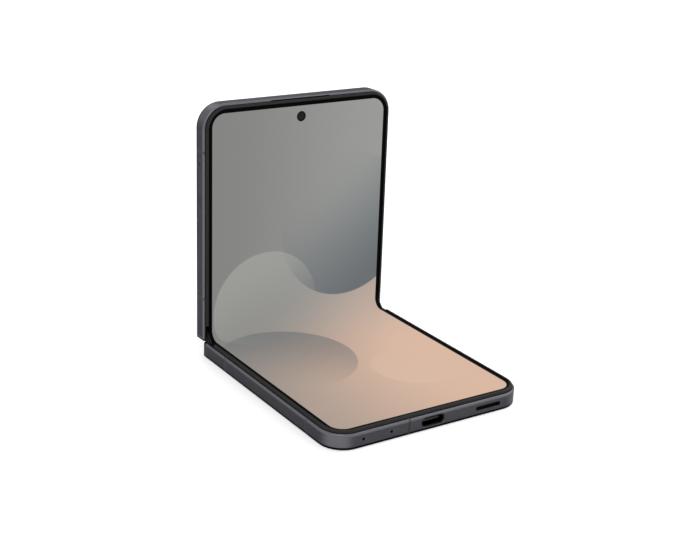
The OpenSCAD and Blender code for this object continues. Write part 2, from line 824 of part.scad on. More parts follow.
// Card reader: sheet cage under the main board, open towards the tray
tray_plate_l = tray_l - tray_h + 0.2;
module card_reader() color([0.72, 0.72, 0.74]) upper() {
    x0 = -body_w / 2 + wall + 0.3;
    x1 = -body_w / 2 + tray_head_t + tray_depth + 0.4;
    inner = tray_plate_l / 2 + run_gap;
    low = z_mid_side - tray_plate_t / 2 - run_gap;
    difference() {
        box([x0, x1 + 0.3], [tray_s - inner - 0.4, tray_s + inner + 0.4], [low - 0.3, z_board_under]);
        box([x0 - 1, x1], [tray_s - inner, tray_s + inner], [low, z_board_under - 0.25]);
    }
}

// Switches behind the keys, on one carrier strip
module key_switches() color([0.10, 0.10, 0.11]) upper() {
    seat = body_w / 2 - key_seat_depth - key_flange_t - switch_gap;
    strip = body_w / 2 - wall - shelf_w - 0.1;
    places = [
        [side_key_s, seat - side_key_play], [volume_key_s - 6, seat - volume_key_play],
        [volume_key_s + 6, seat - volume_key_play]
    ];
    for (p = places) box([strip - 0.1, p[1]], [p[0] - 1.2, p[0] + 1.2], [z_mid_side - 0.7, z_mid_side + 0.7]);
    box([strip - 0.5, strip], [side_key_s - 4, volume_key_s + 9], [z_mid_side - 1.2, z_mid_side + 1.2]);
}

module side_key() color([0.28, 0.28, 0.31]) upper() key(side_key_s, side_key_l, side_key_play);

module volume_key() color([0.28, 0.28, 0.31]) upper() key(volume_key_s, volume_key_l, volume_key_play);

// Card tray: flush head with its release hole, and a plate with the card's window
module card_tray() color([0.32, 0.32, 0.35]) upper() translate([-body_w / 2, tray_s, z_mid_side]) difference() {
    union() {
        along_x(0, tray_head_t) stadium(tray_l, tray_h);
        box([tray_head_t - 0.1, tray_head_t + tray_depth], [-tray_plate_l / 2, tray_plate_l / 2], [-tray_plate_t / 2, tray_plate_t / 2]);
    }
    x0 = tray_head_t + window_edge;
    box([x0, x0 + window_w], [-window_l / 2, window_l / 2], [-1, 1]);
    translate([0, tray_l / 2 - pin_hole_from_end, 0]) along_x(-1, tray_head_t + 1) circle(d = pin_hole_d, $fn = 32);
}

// Spine

// Outline of the spine in (y, z): round about both axes, flat between them
module spine_outline(r) {
    intersection() {
        union() {
            for (side = [-1, 1]) translate([side * d, z_axis]) circle(r, $fn = fine);
            translate([-d, z_axis - r]) square([2 * d, r]);
        }
        translate([-big / 2, -big]) square([big, big + z_spine_top]);
    }
}

module spine_cover() color([0.32, 0.32, 0.35]) place_spine() {
    difference() {
        along_x(-spine_half_l, spine_half_l) spine_outline(spine_r);
        along_x(-spine_half_l + spine_end_t, spine_half_l - spine_end_t) spine_outline(spine_in_r);
        along_x(-spine_half_l + spine_end_t, spine_half_l - spine_end_t) {
            translate([-big / 2, z_spine_top - 0.01]) square([big, 1]);
        }
    }
}

// Rail block: fills the trough, with one curved channel for each half's rail
module rail_block() {
    z_top = z_spine_top - 0.1;
    difference() {
        along_x(-block_half_l, block_half_l) intersection() {
            spine_outline(spine_in_r - 0.02);
            translate([-big / 2, z_trough + 0.02]) square([big, z_top - z_trough - 0.02]);
        }
        for (side = [-1, 1]) {
            along_x(-big, big) translate([side * d, z_axis]) circle(core_in_r, $fn = 64);
            x0 = side > 0 ? rail_from_middle - run_gap : -rail_from_middle - rail_w - run_gap;
            along_x(x0, x0 + rail_w + 2 * run_gap) translate([side * d, z_axis])
                ring_sector(rail_in_r - run_gap, rail_out_r + run_gap, -190, 10);
        }
        block_screws(screw_gap);
    }
}

// Two screws down through the middle of a rail block
module block_screws(gap) {
    for (x = [-5.2, 5.2]) translate([x, 0, z_axis - 1.2]) {
        translate([0, 0, -head_h - gap]) cylinder(r = head_r + gap, h = head_h + big * gap, $fn = 32);
        translate([0, 0, -2 - gap]) cylinder(r = screw_r + gap, h = 2, $fn = 32);
    }
}

module rail_blocks() color([0.50, 0.50, 0.53]) place_spine() {
    for (c = [-block_x, block_x]) translate([c, 0, 0]) rail_block();
}

module hinge_screws() color([0.80, 0.80, 0.82]) place_spine() {
    for (c = [-block_x, block_x]) translate([c, 0, 0]) block_screws(0);
}

idler_y = [for (i = [0 : 3]) d * (2 * i - 3) / 3];

// Gear carrier: base on the trough floor, two cheeks for the pins and two spring stops
module sync_gear_block() color([0.50, 0.50, 0.53]) place_spine() {
    cheek_x = gear_w / 2 + cheek_gap;
    z_floor = z_trough + 0.02;
    difference() {
        union() {
            along_x(-base_half_l, base_half_l) intersection() {
                spine_outline(spine_in_r - 0.02);
                translate([-2.6, z_floor]) square([5.2, base_t]);
            }
            for (side = [0, 1]) mirror([side, 0, 0]) {
                along_x(cheek_x, cheek_x + cheek_t) intersection() {
                    spine_outline(spine_in_r - 0.02);
                    translate([-big / 2, z_floor]) square([big, z_axis - 1.5 - z_floor]);
                }
                along_x(base_half_l - stop_t, base_half_l) translate([-1.5, z_floor]) square([3, z_idler + 0.7 - z_floor]);
            }
        }
        for (y = idler_y) translate([0, y, z_idler]) rotate([0, 90, 0]) cylinder(d = pin_d, h = 2 * base_half_l + 2, center = true, $fn = 48);
        for (side = [-1, 1]) along_x(-base_half_l, base_half_l) translate([side * d, z_axis]) circle(sector_r + 0.5, $fn = 64);
    }
}

module idler_pins() color([0.80, 0.80, 0.82]) place_spine() for (i = [0 : 3]) {
    half_l = i == 0 || i == 3 ? gear_w / 2 + cheek_gap + cheek_t : base_half_l;
    translate([0, idler_y[i], z_idler]) rotate([0, 90, 0]) cylinder(d = pin_d, h = 2 * half_l, center = true, $fn = 48);
}

// Detent springs on the two long pins: coils drawn as one turned profile with a crest for each turn
module detent_springs() color([0.78, 0.78, 0.80]) place_spine() {
    start = gear_w / 2 + cheek_gap + cheek_t + 0.05;
    finish = base_half_l - stop_t - 0.05;
    turns = 11;
    pitch = (finish - start) / turns;
    bore = pin_d / 2 + 0.04;
    root = bore + 0.12;
    crest = root + 0.17;
    for (i = [1, 2], side = [0, 1]) mirror([side, 0, 0])
        translate([start, idler_y[i], z_idler]) rotate([0, 90, 0]) rotate_extrude($fn = 32) polygon(concat(
            [[bore, 0]],
            [for (k = [0 : turns - 1]) each [
                [root, k * pitch], [crest, (k + 0.35) * pitch], [crest, (k + 0.65) * pitch]
            ]],
            [[root, finish - start], [bore, finish - start]]
        ));
}

// Black caps at both ends of the fold: a foot on the spine's end wall and a lip beside the screen
module fold_end_caps() color([0.03, 0.03, 0.03]) place_spine() {
    foot = spine_half_l - spine_end_t;
    lip = body_w / 2 - screen_inset + 0.1;
    for (side = [0, 1]) mirror([side, 0, 0]) {
        along_x(foot, cap_end) intersection() {
            cap_outline();
            translate([-big / 2, z_spine_top]) square([big, z_screen_under - 0.1 - z_spine_top]);
        }
        along_x(lip, cap_end) cap_outline();
    }
}

module cap_outline() {
    top = -0.1;
    half_l = trim_end - cap_gap;
    polygon([
        [-half_l, z_spine_top], [-half_l, top - 0.6], [-half_l + 0.5, top], [half_l - 0.5, top],
        [half_l, top - 0.6], [half_l, z_spine_top]
    ]);
}

// The screen's bend: an arc that touches both flat panels
module fold_screen() color([0.66, 0.62, 0.58]) place_spine() {
    half_w = body_w / 2 - screen_inset;
    along_x(-half_w, half_w) translate([0, bend_z])
        ring_sector(fold_r, fold_r + screen_t, -90 - rest_fold, -90 + rest_fold);
}

// Flat cables from one half to the other through the spine, with a tail at each end
module hinge_flex_cables() color([0.45, 0.28, 0.12]) place_spine() {
    a = (d - flex_h * sin(rest_fold)) / cos(rest_fold);
    z_apex = z_axis - a * sin(rest_fold) + flex_h * cos(rest_fold);
    z_centre = z_apex + flex_r / cos(rest_fold);
    leg_start = a - flex_r * tan(rest_fold);
    for (x = flex_x) along_x(x - flex_w / 2, x + flex_w / 2) {
        translate([0, z_centre]) ring_sector(flex_r - flex_t / 2, flex_r + flex_t / 2, -90.5 - rest_fold, -89.5 + rest_fold);
        for (side = [0, 1]) mirror([side, 0]) translate([d, z_axis]) rotate(rest_fold) {
            translate([-leg_start, flex_h - flex_t / 2]) square([leg_start + flex_end - d, flex_t]);
            translate([flex_end - d - flex_t, flex_h - flex_tail]) square([flex_t, flex_tail]);
        }
    }
}

// Idler gear i of the train, turned as far as the fold has turned it
module sync_gear(i) place_spine() {
    turn = (i % 2 == 0 ? 1 : -1) * gear_ratio * rest_fold;
    tooth_at = i % 2 == 0 ? 180 / idler_teeth : 0;
    along_x(-gear_w / 2, gear_w / 2) translate([idler_y[i], z_idler]) idler_outline(tooth_at + turn);
}

module sync_gear_1() color([0.72, 0.60, 0.35]) sync_gear(0);
module sync_gear_2() color([0.72, 0.60, 0.35]) sync_gear(1);
module sync_gear_3() color([0.72, 0.60, 0.35]) sync_gear(2);
module sync_gear_4() color([0.72, 0.60, 0.35]) sync_gear(3);

lower_frame();
lower_midplate();
lower_back_glass();
lower_trim();
lower_screen();
lower_battery();
charging_coil();
sub_board();
sub_board_shield();
usb_port_shell();
usb_port_tongue();
loudspeaker();
speaker_mesh();
bottom_microphones();
lower_antenna_breaks();
lower_hinge_bracket();
lower_wing_plate();
lower_screws();
upper_frame();
upper_midplate();
cover_glass();
cover_screen();
upper_trim();
upper_screen();
front_camera();
upper_battery();
main_board();
board_shields();
rear_camera_main();
rear_camera_wide();
camera_rings();
camera_lens_glass();
flash_lamp();
earpiece();
earpiece_mesh();
vibration_motor();
upper_antenna_breaks();
upper_hinge_bracket();
upper_wing_plate();
upper_screws();
card_reader();
key_switches();
spine_cover();
rail_blocks();
sync_gear_block();
idler_pins();
detent_springs();
fold_end_caps();
hinge_screws();
fold_screen();
hinge_flex_cables();
sync_gear_1();
sync_gear_2();
sync_gear_3();
sync_gear_4();
side_key();
volume_key();
card_tray();
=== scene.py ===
"""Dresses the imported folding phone: finishes, the bending screen, fine details, studio and camera."""

import logging
import math
from dataclasses import dataclass, field, replace
from enum import Enum
from functools import partial, reduce
from typing import Any, Optional, Sequence, Union

import bmesh
import bpy
from mathutils import Euler, Matrix, Vector

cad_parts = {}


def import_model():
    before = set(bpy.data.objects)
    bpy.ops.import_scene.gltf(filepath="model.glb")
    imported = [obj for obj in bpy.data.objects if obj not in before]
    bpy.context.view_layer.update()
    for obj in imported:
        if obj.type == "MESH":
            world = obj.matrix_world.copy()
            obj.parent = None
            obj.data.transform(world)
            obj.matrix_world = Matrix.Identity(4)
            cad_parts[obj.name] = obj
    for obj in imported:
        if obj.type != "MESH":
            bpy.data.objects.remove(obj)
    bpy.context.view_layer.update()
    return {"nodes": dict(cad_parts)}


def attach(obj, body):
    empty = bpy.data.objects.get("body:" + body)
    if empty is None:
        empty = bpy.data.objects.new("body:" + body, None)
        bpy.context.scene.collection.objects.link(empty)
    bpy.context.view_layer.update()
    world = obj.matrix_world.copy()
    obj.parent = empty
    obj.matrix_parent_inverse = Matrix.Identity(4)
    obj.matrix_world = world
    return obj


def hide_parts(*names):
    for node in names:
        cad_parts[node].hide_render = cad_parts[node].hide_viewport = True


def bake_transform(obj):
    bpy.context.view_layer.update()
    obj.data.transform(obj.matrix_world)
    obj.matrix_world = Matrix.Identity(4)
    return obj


LOG = logging.getLogger("folding_phone")
MM = 0.001

Colour = tuple[float, float, float, float]
Pair = tuple[float, float]
Triple = tuple[float, float, float]
Row = Sequence[bmesh.types.BMVert]
Socket = bpy.types.NodeSocket
Feed = Union[Socket, float, Sequence[float], None]

WHITE: Colour = (1.0, 1.0, 1.0, 1.0)
EVEN: Triple = (1.0, 1.0, 1.0)


def tone(red: float, green: float, blue: float) -> Colour:
    """Gives the linear colour of display values from 0 to 255.

    Args:
        red: Display value of red.
        green: Display value of green.
        blue: Display value of blue.

    Returns:
        The linear colour with full alpha.
    """

    def linear(value: float) -> float:
        """Undoes the display curve for one channel."""
        part = value / 255
        return part / 12.92 if part <= 0.04045 else ((part + 0.055) / 1.055) ** 2.4

    return (linear(red), linear(green), linear(blue), 1.0)


def shaded(colour: Colour, factor: float, lift: float = 0.0) -> Colour:
    """Gives a colour made brighter or darker, with no channel above 1."""
    return tuple(min(1.0, factor * part + lift) for part in colour[:3]) + (1.0,)


class Half(Enum):
    """The part of the phone whose own coordinates a finish or a piece uses."""

    LOWER = "lower_half"
    SPINE = "spine"
    UPPER = "upper_half"

    @property
    def sign(self) -> int:
        """Which way the half runs from the fold, across the spine."""
        return -1 if self is Half.LOWER else 1


@dataclass(frozen=True)
class PhoneLayout:
    """Sizes of the phone in millimetres, as its CAD has them, and the place of each half at rest."""

    body_w: float = 75.2
    half_len: float = 83.35
    body_t: float = 6.5
    corner_r: float = 8.4
    back_round: float = 0.85
    end_bevel: float = 0.25
    metal_lip: float = 0.7
    trim_proud: float = 0.9
    screen_inset: float = 1.85
    screen_recess: float = 0.3
    screen_t: float = 0.4
    fold_r: float = 3.67
    rest_fold: float = 44.4
    axis_half_gap: float = 2.05
    axis_depth: float = 1.7
    spine_half_w: float = 35.38
    front_camera: Pair = (0.0, 76.6)
    rear_cameras: tuple[Pair, ...] = ((25.0, 70.75), (10.0, 70.75))
    flash: Pair = (-0.8, 70.75)
    coil: Pair = (0.0, 35.0)

    @property
    def fold(self) -> float:
        """The turn of each hinge axis at rest, in radians."""
        return math.radians(self.rest_fold)

    @property
    def bend_length(self) -> float:
        """Length of the screen from the middle of the bend to the flat panel."""
        return self.fold_r * self.fold

    @property
    def screen_bend(self) -> Pair:
        """Where the flat screen begins, from the fold line, and the level of its bend's centre line."""
        return self.bend_at(self.axis_depth - self.screen_recess, self.fold_r)

    def bend_at(self, rise: float, radius: float) -> Pair:
        """Finds the bend that joins two planes, one on each half.

        Args:
            rise: How far the planes lie above the hinge axes.
            radius: Radius of the bend between them.

        Returns:
            Where the flat part begins, from the fold line, and the level of the bend's centre line.
        """
        run = (self.axis_half_gap - rise * math.sin(self.fold)) / math.cos(self.fold)
        level = -self.axis_depth - run * math.sin(self.fold) + rise * math.cos(self.fold)
        start = self.axis_half_gap - (run - radius * math.tan(self.fold))
        return start, level + radius / math.cos(self.fold)

    def turned(self, point: Vector, y: float, angle: float) -> Vector:
        """Turns a point about a hinge axis.

        Args:
            point: The point, in millimetres.
            y: Place of the axis across the fold; its level is the same for both.
            angle: The turn in radians.

        Returns:
            The turned point.
        """
        axis = Vector((0, y, -self.axis_depth))
        return axis + Matrix.Rotation(angle, 3, "X") @ (point - axis)

    def place(self, half: Half, x: float, s: float, z: float) -> Vector:
        """Takes a point of one half's own coordinates to the part's frame.

        Args:
            half: The half, or the spine, that the point belongs to.
            x: Across the phone.
            s: Away from the fold line, or across the spine.
            z: Up from the trim's top.

        Returns:
            The point in metres.
        """
        point = Vector((x, half.sign * s, z))
        if half is Half.UPPER:
            point = self.turned(point, self.axis_half_gap, self.fold)
        if half is not Half.LOWER:
            point = self.turned(point, -self.axis_half_gap, self.fold)
        return (point + Vector((0, self.half_len / 2, self.body_t))) * MM

    def mapping(self, half: Half) -> tuple[Vector, Vector, Vector]:
        """Gives the Mapping node values that take metres of the part's frame to a half's millimetres.

        Args:
            half: The half, or the spine.

        Returns:
            Location, rotation and scale, for x across, y away from the fold and z up from the trim.
        """
        origin = self.place(half, 0, 0, 0)
        if half is Half.LOWER:
            return Vector((0, origin.y, -origin.z)) / MM, Vector((0, 0, 0)), Vector((1, -1, 1)) / MM
        angle = -self.fold * (2 if half is Half.UPPER else 1)
        turn = Matrix.Rotation(angle, 3, "X")
        return -(turn @ origin) / MM, Vector((angle, 0, 0)), Vector(EVEN) / MM


PHONE = PhoneLayout()


class Wiring:
    """A node tree with short calls that add nodes and join their sockets."""

    def __init__(self, tree: bpy.types.NodeTree) -> None:
        """Starts on a tree.

        Args:
            tree: The material's or the group's tree.
        """
        self.tree = tree

    def add(self, kind: str, **settings: Any) -> bpy.types.Node:
        """Adds a node.

        Args:
            kind: The node's type name.
            settings: Properties to set on it.

        Returns:
            The new node.
        """
        node = self.tree.nodes.new(kind)
        for key, value in settings.items():
            setattr(node, key, value)
        return node

    def feed(self, socket: Socket, value: Feed) -> None:
        """Joins a socket to a value's source, or sets it.

        Args:
            socket: The input socket.
            value: An output socket, a plain value, or None to leave it alone.
        """
        if isinstance(value, bpy.types.NodeSocket):
            self.tree.links.new(value, socket)
        elif value is not None:
            socket.default_value = value

    def math(self, operation: str, a: Feed, b: Feed = None, c: Feed = None) -> Socket:
        """Adds a Math node.

        Args:
            operation: What it does.
            a: First value.
            b: Second value.
            c: Third value.

        Returns:
            The result.
        """
        node = self.add("ShaderNodeMath", operation=operation)
        for socket, value in zip(node.inputs, (a, b, c)):
            self.feed(socket, value)
        return node.outputs[0]

    def times(self, *values: Feed) -> Socket:
        """Multiplies values."""
        return reduce(partial(self.math, "MULTIPLY"), values)

    def largest(self, *values: Feed) -> Socket:
        """Gives the largest of some values."""
        return reduce(partial(self.math, "MAXIMUM"), values)

    def vector(self, operation: str, a: Feed, b: Feed = None) -> bpy.types.Node:
        """Adds a Vector Math node.

        Args:
            operation: What it does.
            a: First vector.
            b: Second vector.

        Returns:
            The node, whose outputs are Vector and Value.
        """
        node = self.add("ShaderNodeVectorMath", operation=operation)
        self.feed(node.inputs[0], a)
        self.feed(node.inputs[1], b)
        return node

    def split(self, vector: Feed) -> tuple[Socket, Socket, Socket]:
        """Splits a vector into its three values."""
        node = self.add("ShaderNodeSeparateXYZ")
        self.feed(node.inputs[0], vector)
        return node.outputs[0], node.outputs[1], node.outputs[2]

    def joined(self, x: Feed, y: Feed, z: Feed) -> Socket:
        """Joins three values into a vector."""
        node = self.add("ShaderNodeCombineXYZ")
        for socket, value in zip(node.inputs, (x, y, z)):
            self.feed(socket, value)
        return node.outputs[0]

    def step(self, value: Feed, low: Feed, high: Feed, to_low: Feed = 0.0, to_high: Feed = 1.0) -> Socket:
        """Turns a value smoothly from one number to another.

        Args:
            value: The value that decides.
            low: Where the turn begins.
            high: Where it ends.
            to_low: The result before it.
            to_high: The result after it.

        Returns:
            The result.
        """
        node = self.add("ShaderNodeMapRange", interpolation_type="SMOOTHSTEP")
        names = ("Value", "From Min", "From Max", "To Min", "To Max")
        for name, item in zip(names, (value, low, high, to_low, to_high)):
            self.feed(node.inputs[name], item)
        return node.outputs["Result"]

    def wave(self, value: Feed, pitch: Feed) -> Socket:
        """Gives a sine of one turn per pitch."""
        return self.math("SINE", self.times(self.math("DIVIDE", value, pitch), 2 * math.pi))

    def mix(self, factor: Feed, a: Feed, b: Feed) -> Socket:
        """Mixes two colours.

        Args:
            factor: Share of the second colour.
            a: First colour.
            b: Second colour.

        Returns:
            The mixed colour.
        """
        node = self.add("ShaderNodeMix", data_type="RGBA", clamp_factor=True)
        self.feed(node.inputs[0], factor)
        self.feed(node.inputs[6], a)
        self.feed(node.inputs[7], b)
        return node.outputs[2]

    def noise(self, vector: Feed, scale: Feed, detail: float, stretch: Triple = EVEN) -> Socket:
        """Adds a noise value.

        Args:
            vector: The coordinates.
            scale: Its scale.
            detail: How many finer layers it has.
            stretch: Factors on the coordinates, for a drawn-out grain.

        Returns:
            The noise value.
        """
        if stretch != EVEN:
            vector = self.vector("MULTIPLY", vector, stretch).outputs[0]
        node = self.add("ShaderNodeTexNoise")
        self.feed(node.inputs["Vector"], vector)
        self.feed(node.inputs["Scale"], scale)
        self.feed(node.inputs["Detail"], detail)
        return node.outputs["Fac"]

    def rounded(self, over_x: Socket, over_y: Socket) -> tuple[Socket, Socket]:
        """Measures a point against a rectangle with round corners.

        Args:
            over_x: How far the point lies past the corner centres across.
            over_y: How far it lies past them along.

        Returns:
            Its distance from the rectangle of the corner centres, below 0 inside, and the way past one.
        """
        outside = self.vector("MAXIMUM", self.joined(over_x, over_y, 0.0), (0.0, 0.0, 0.0)).outputs[0]
        corner = self.vector("LENGTH", outside).outputs["Value"]
        inside = self.math("MINIMUM", self.largest(over_x, over_y), 0.0)
        return self.math("ADD", corner, inside), outside

    def group(self, tree: bpy.types.NodeTree, **values: Feed) -> Any:
        """Places a node group.

        Args:
            tree: The group.
            values: Its inputs by name, with an underscore for a space.

        Returns:
            The group's outputs, by name.
        """
        node = self.add("ShaderNodeGroup", node_tree=tree)
        for key, value in values.items():
            self.feed(node.inputs[key.replace("_", " ")], value)
        return node.outputs


class EffectKit:
    """The effects that several finishes share, each a node group that is built once."""

    def __init__(self, phone: PhoneLayout) -> None:
        """Builds all the groups.

        Args:
            phone: The sizes that the outline needs.
        """
        self.phone = phone
        self.grain = self._grain()
        self.edges = self._edges()
        self.outline = self._outline()
        self.smudges = self._smudges()
        self.circles = self._circles()
        self.disc = self._disc()

    @staticmethod
    def _start(name: str, inputs: dict[str, str], outputs: dict[str, str]) -> tuple[Wiring, Any, Any]:
        """Starts a group.

        Args:
            name: The group's name.
            inputs: Socket types of its inputs by name.
            outputs: Socket types of its outputs by name.

        Returns:
            The wiring, the input node's outputs and the output node's inputs.
        """
        tree = bpy.data.node_groups.new(name, "ShaderNodeTree")
        for names, way in ((inputs, "INPUT"), (outputs, "OUTPUT")):
            for socket, kind in names.items():
                tree.interface.new_socket(name=socket, in_out=way, socket_type="NodeSocket" + kind)
        wiring = Wiring(tree)
        return wiring, wiring.add("NodeGroupInput").outputs, wiring.add("NodeGroupOutput").inputs

    def _grain(self) -> bpy.types.NodeTree:
        """Fine blasted or moulded grain, with slow changes of tone."""
        net, given, out = self._start(
            "surface_grain", {"Vector": "Vector", "Size": "Float"}, {"Height": "Float", "Tone": "Float"}
        )
        slow_share = 0.03
        scale = net.math("DIVIDE", 1.0, given["Size"])
        slow = net.noise(given["Vector"], net.times(scale, slow_share), 2.0)
        net.feed(out["Height"], net.noise(given["Vector"], scale, 4.0))
        net.feed(out["Tone"], net.step(slow, 0.3, 0.7))
        return net.tree

    def _edges(self) -> bpy.types.NodeTree:
        """Softly rounded edges, and a mask of where they are."""
        net, given, out = self._start(
            "soft_edges", {"Radius": "Float"}, {"Normal": "Vector", "Mask": "Float"}
        )
        bevel = net.add("ShaderNodeBevel", samples=6)
        net.feed(bevel.inputs["Radius"], given["Radius"])
        flat = net.add("ShaderNodeNewGeometry").outputs["Normal"]
        likeness = net.vector("DOT_PRODUCT", bevel.outputs["Normal"], flat).outputs["Value"]
        net.feed(out["Normal"], bevel.outputs["Normal"])
        net.feed(out["Mask"], net.step(likeness, 0.995, 0.9))
        return net.tree

    def _outline(self) -> bpy.types.NodeTree:
        """How far inside a half's outline a point is, its level, and how near the middle of a corner."""
        net, given, out = self._start(
            "outline_inset", {"Vector": "Vector"}, {"Inset": "Float", "Level": "Float", "Corner": "Float"}
        )
        phone = self.phone
        least_square = 0.01
        x, s, z = net.split(given["Vector"])
        over_x = net.math("SUBTRACT", net.math("ABSOLUTE", x), phone.body_w / 2 - phone.corner_r)
        over_s = net.math("SUBTRACT", s, phone.half_len - phone.corner_r)
        distance, outside = net.rounded(over_x, over_s)
        side, end, _ = net.split(outside)
        square = net.largest(net.vector("DOT_PRODUCT", outside, outside).outputs["Value"], least_square)
        net.feed(out["Inset"], net.math("SUBTRACT", phone.corner_r, distance))
        net.feed(out["Level"], z)
        net.feed(out["Corner"], net.math("DIVIDE", net.times(side, end, 2.0), square))
        return net.tree

    def _smudges(self) -> bpy.types.NodeTree:
        """Faint wiped marks that change how dull a smooth surface is."""
        net, given, out = self._start("wiped_marks", {"Vector": "Vector", "Size": "Float"}, {"Mask": "Float"})
        wiped = (1.0, 0.25, 1.0)
        scale = net.math("DIVIDE", 1.0, given["Size"])
        broad = net.noise(given["Vector"], scale, 3.0)
        streak = net.noise(given["Vector"], net.times(scale, 2.5), 5.0, wiped)
        net.feed(out["Mask"], net.step(net.times(broad, streak), 0.12, 0.42))
        return net.tree

    def _circles(self) -> bpy.types.NodeTree:
        """Turned rings about a centre in the first two coordinates."""
        net, given, out = self._start(
            "turned_rings",
            {"Vector": "Vector", "Centre": "Vector", "Pitch": "Float"},
            {"Height": "Float", "Radius": "Float"},
        )
        x, y, _ = net.split(net.vector("SUBTRACT", given["Vector"], given["Centre"]).outputs[0])
        radius = net.vector("LENGTH", net.joined(x, y, 0.0)).outputs["Value"]
        net.feed(out["Height"], net.math("MULTIPLY_ADD", net.wave(radius, given["Pitch"]), 0.5, 0.5))
        net.feed(out["Radius"], radius)
        return net.tree

    def _disc(self) -> bpy.types.NodeTree:
        """A round field with a crisp rim that fades out to one side."""
        net, given, out = self._start(
            "faded_disc",
            {"Vector": "Vector", "Centre": "Vector", "Radius": "Float", "Fade": "Vector"},
            {"Mask": "Float"},
        )
        away = net.vector("SUBTRACT", given["Vector"], given["Centre"]).outputs[0]
        rim = net.math("SUBTRACT", given["Radius"], net.vector("LENGTH", away).outputs["Value"])
        along = net.vector("DOT_PRODUCT", away, given["Fade"]).outputs["Value"]
        faded = net.step(net.math("DIVIDE", along, given["Radius"]), 0.85, -1.0)
        net.feed(out["Mask"], net.times(net.step(rim, -0.25, 0.25), faded))
        return net.tree


class Surface(Wiring):
    """A material's tree, with its Principled shader ready."""

    def __init__(self, name: str, kit: EffectKit) -> None:
        """Starts a material.

        Args:
            name: The material's name.
            kit: The shared effects.
        """
        self.material = bpy.data.materials.new(name)
        self.material.use_nodes = True
        super().__init__(self.material.node_tree)
        self.kit = kit
        self.shader = self.tree.nodes["Principled BSDF"]
        self.here = self.add("ShaderNodeTexCoord").outputs["Object"]

    def paint(self, **values: Feed) -> None:
        """Sets or joins the shader's sockets by name, with an underscore for a space."""
        for key, value in values.items():
            self.feed(self.shader.inputs[key.replace("_", " ")], value)

    def half_place(self, half: Half) -> Socket:
        """Gives the coordinates of one half in millimetres.

        Args:
            half: The half, or the spine.

        Returns:
            The coordinates.
        """
        node = self.add("ShaderNodeMapping", vector_type="POINT")
        location, rotation, scale = self.kit.phone.mapping(half)
        self.feed(node.inputs["Vector"], self.here)
        node.inputs["Location"].default_value = location
        node.inputs["Rotation"].default_value = Euler(rotation)
        node.inputs["Scale"].default_value = scale
        return node.outputs["Vector"]

    def bump(self, height: Feed, depth: float, strength: float, normal: Feed = None) -> Socket:
        """Raises the surface by a height.

        Args:
            height: The height, from 0 to 1.
            depth: What a height of 1 is, in metres.
            strength: How much of it shows.
            normal: The normal that it changes.

        Returns:
            The new normal.
        """
        node = self.add("ShaderNodeBump")
        values = {"Strength": strength, "Distance": depth, "Height": height, "Normal": normal}
        for name, value in values.items():
            self.feed(node.inputs[name], value)
        return node.outputs["Normal"]

    def grained(self, size: float, vector: Feed = None) -> tuple[Socket, Socket]:
        """Gives the height and the slow tone of a grain, on given coordinates or the part's own."""
        grain = self.group(self.kit.grain, Vector=self.here if vector is None else vector, Size=size)
        return grain["Height"], grain["Tone"]

    def softened(self, radius: float) -> tuple[Socket, Socket]:
        """Gives the normal of edges rounded by a radius in metres, and the mask of where they are."""
        edges = self.group(self.kit.edges, Radius=radius)
        return edges["Normal"], edges["Mask"]

    def cells(self, scale: float, **settings: Any) -> Any:
        """Adds a cell pattern.

        Args:
            scale: Cells in a metre.
            settings: Properties to set on the node.

        Returns:
            The node.
        """
        node = self.add("ShaderNodeTexVoronoi", feature="F1", **settings)
        self.feed(node.inputs["Vector"], self.here)
        self.feed(node.inputs["Scale"], scale)
        return node

    def rings(self, place: Socket, centres: Sequence[Pair], pitch: float) -> list[Any]:
        """Gives the outputs of the turned rings about each of some centres."""
        circles = self.kit.circles
        return [self.group(circles, Vector=place, Centre=(*centre, 0.0), Pitch=pitch) for centre in centres]

    def dulled(self, height: Socket, middle: float, spread: float = 0.2) -> Socket:
        """Gives a roughness that varies about its middle with a height."""
        return self.math("MULTIPLY_ADD", height, spread, middle - spread / 2)

    def back_edge(self, level: Socket) -> Socket:
        """Gives 1 on the rounded back edge of a half and 0 in front of it."""
        edge = self.kit.phone.back_round - self.kit.phone.body_t
        return self.step(level, edge + 0.35, edge + 0.1)


class Finish:
    """What each finish is: sizes and colours that dress a material."""

    def dress(self, net: Surface) -> None:
        """Sets and wires the shader; each finish has its own.

        Args:
            net: The material's wiring.
        """
        raise NotImplementedError

    def build(self, name: str, kit: EffectKit) -> bpy.types.Material:
        """Makes the material.

        Args:
            name: Its name.
            kit: The shared effects.

        Returns:
            The material.
        """
        net = Surface(name, kit)
        self.dress(net)
        return net.material


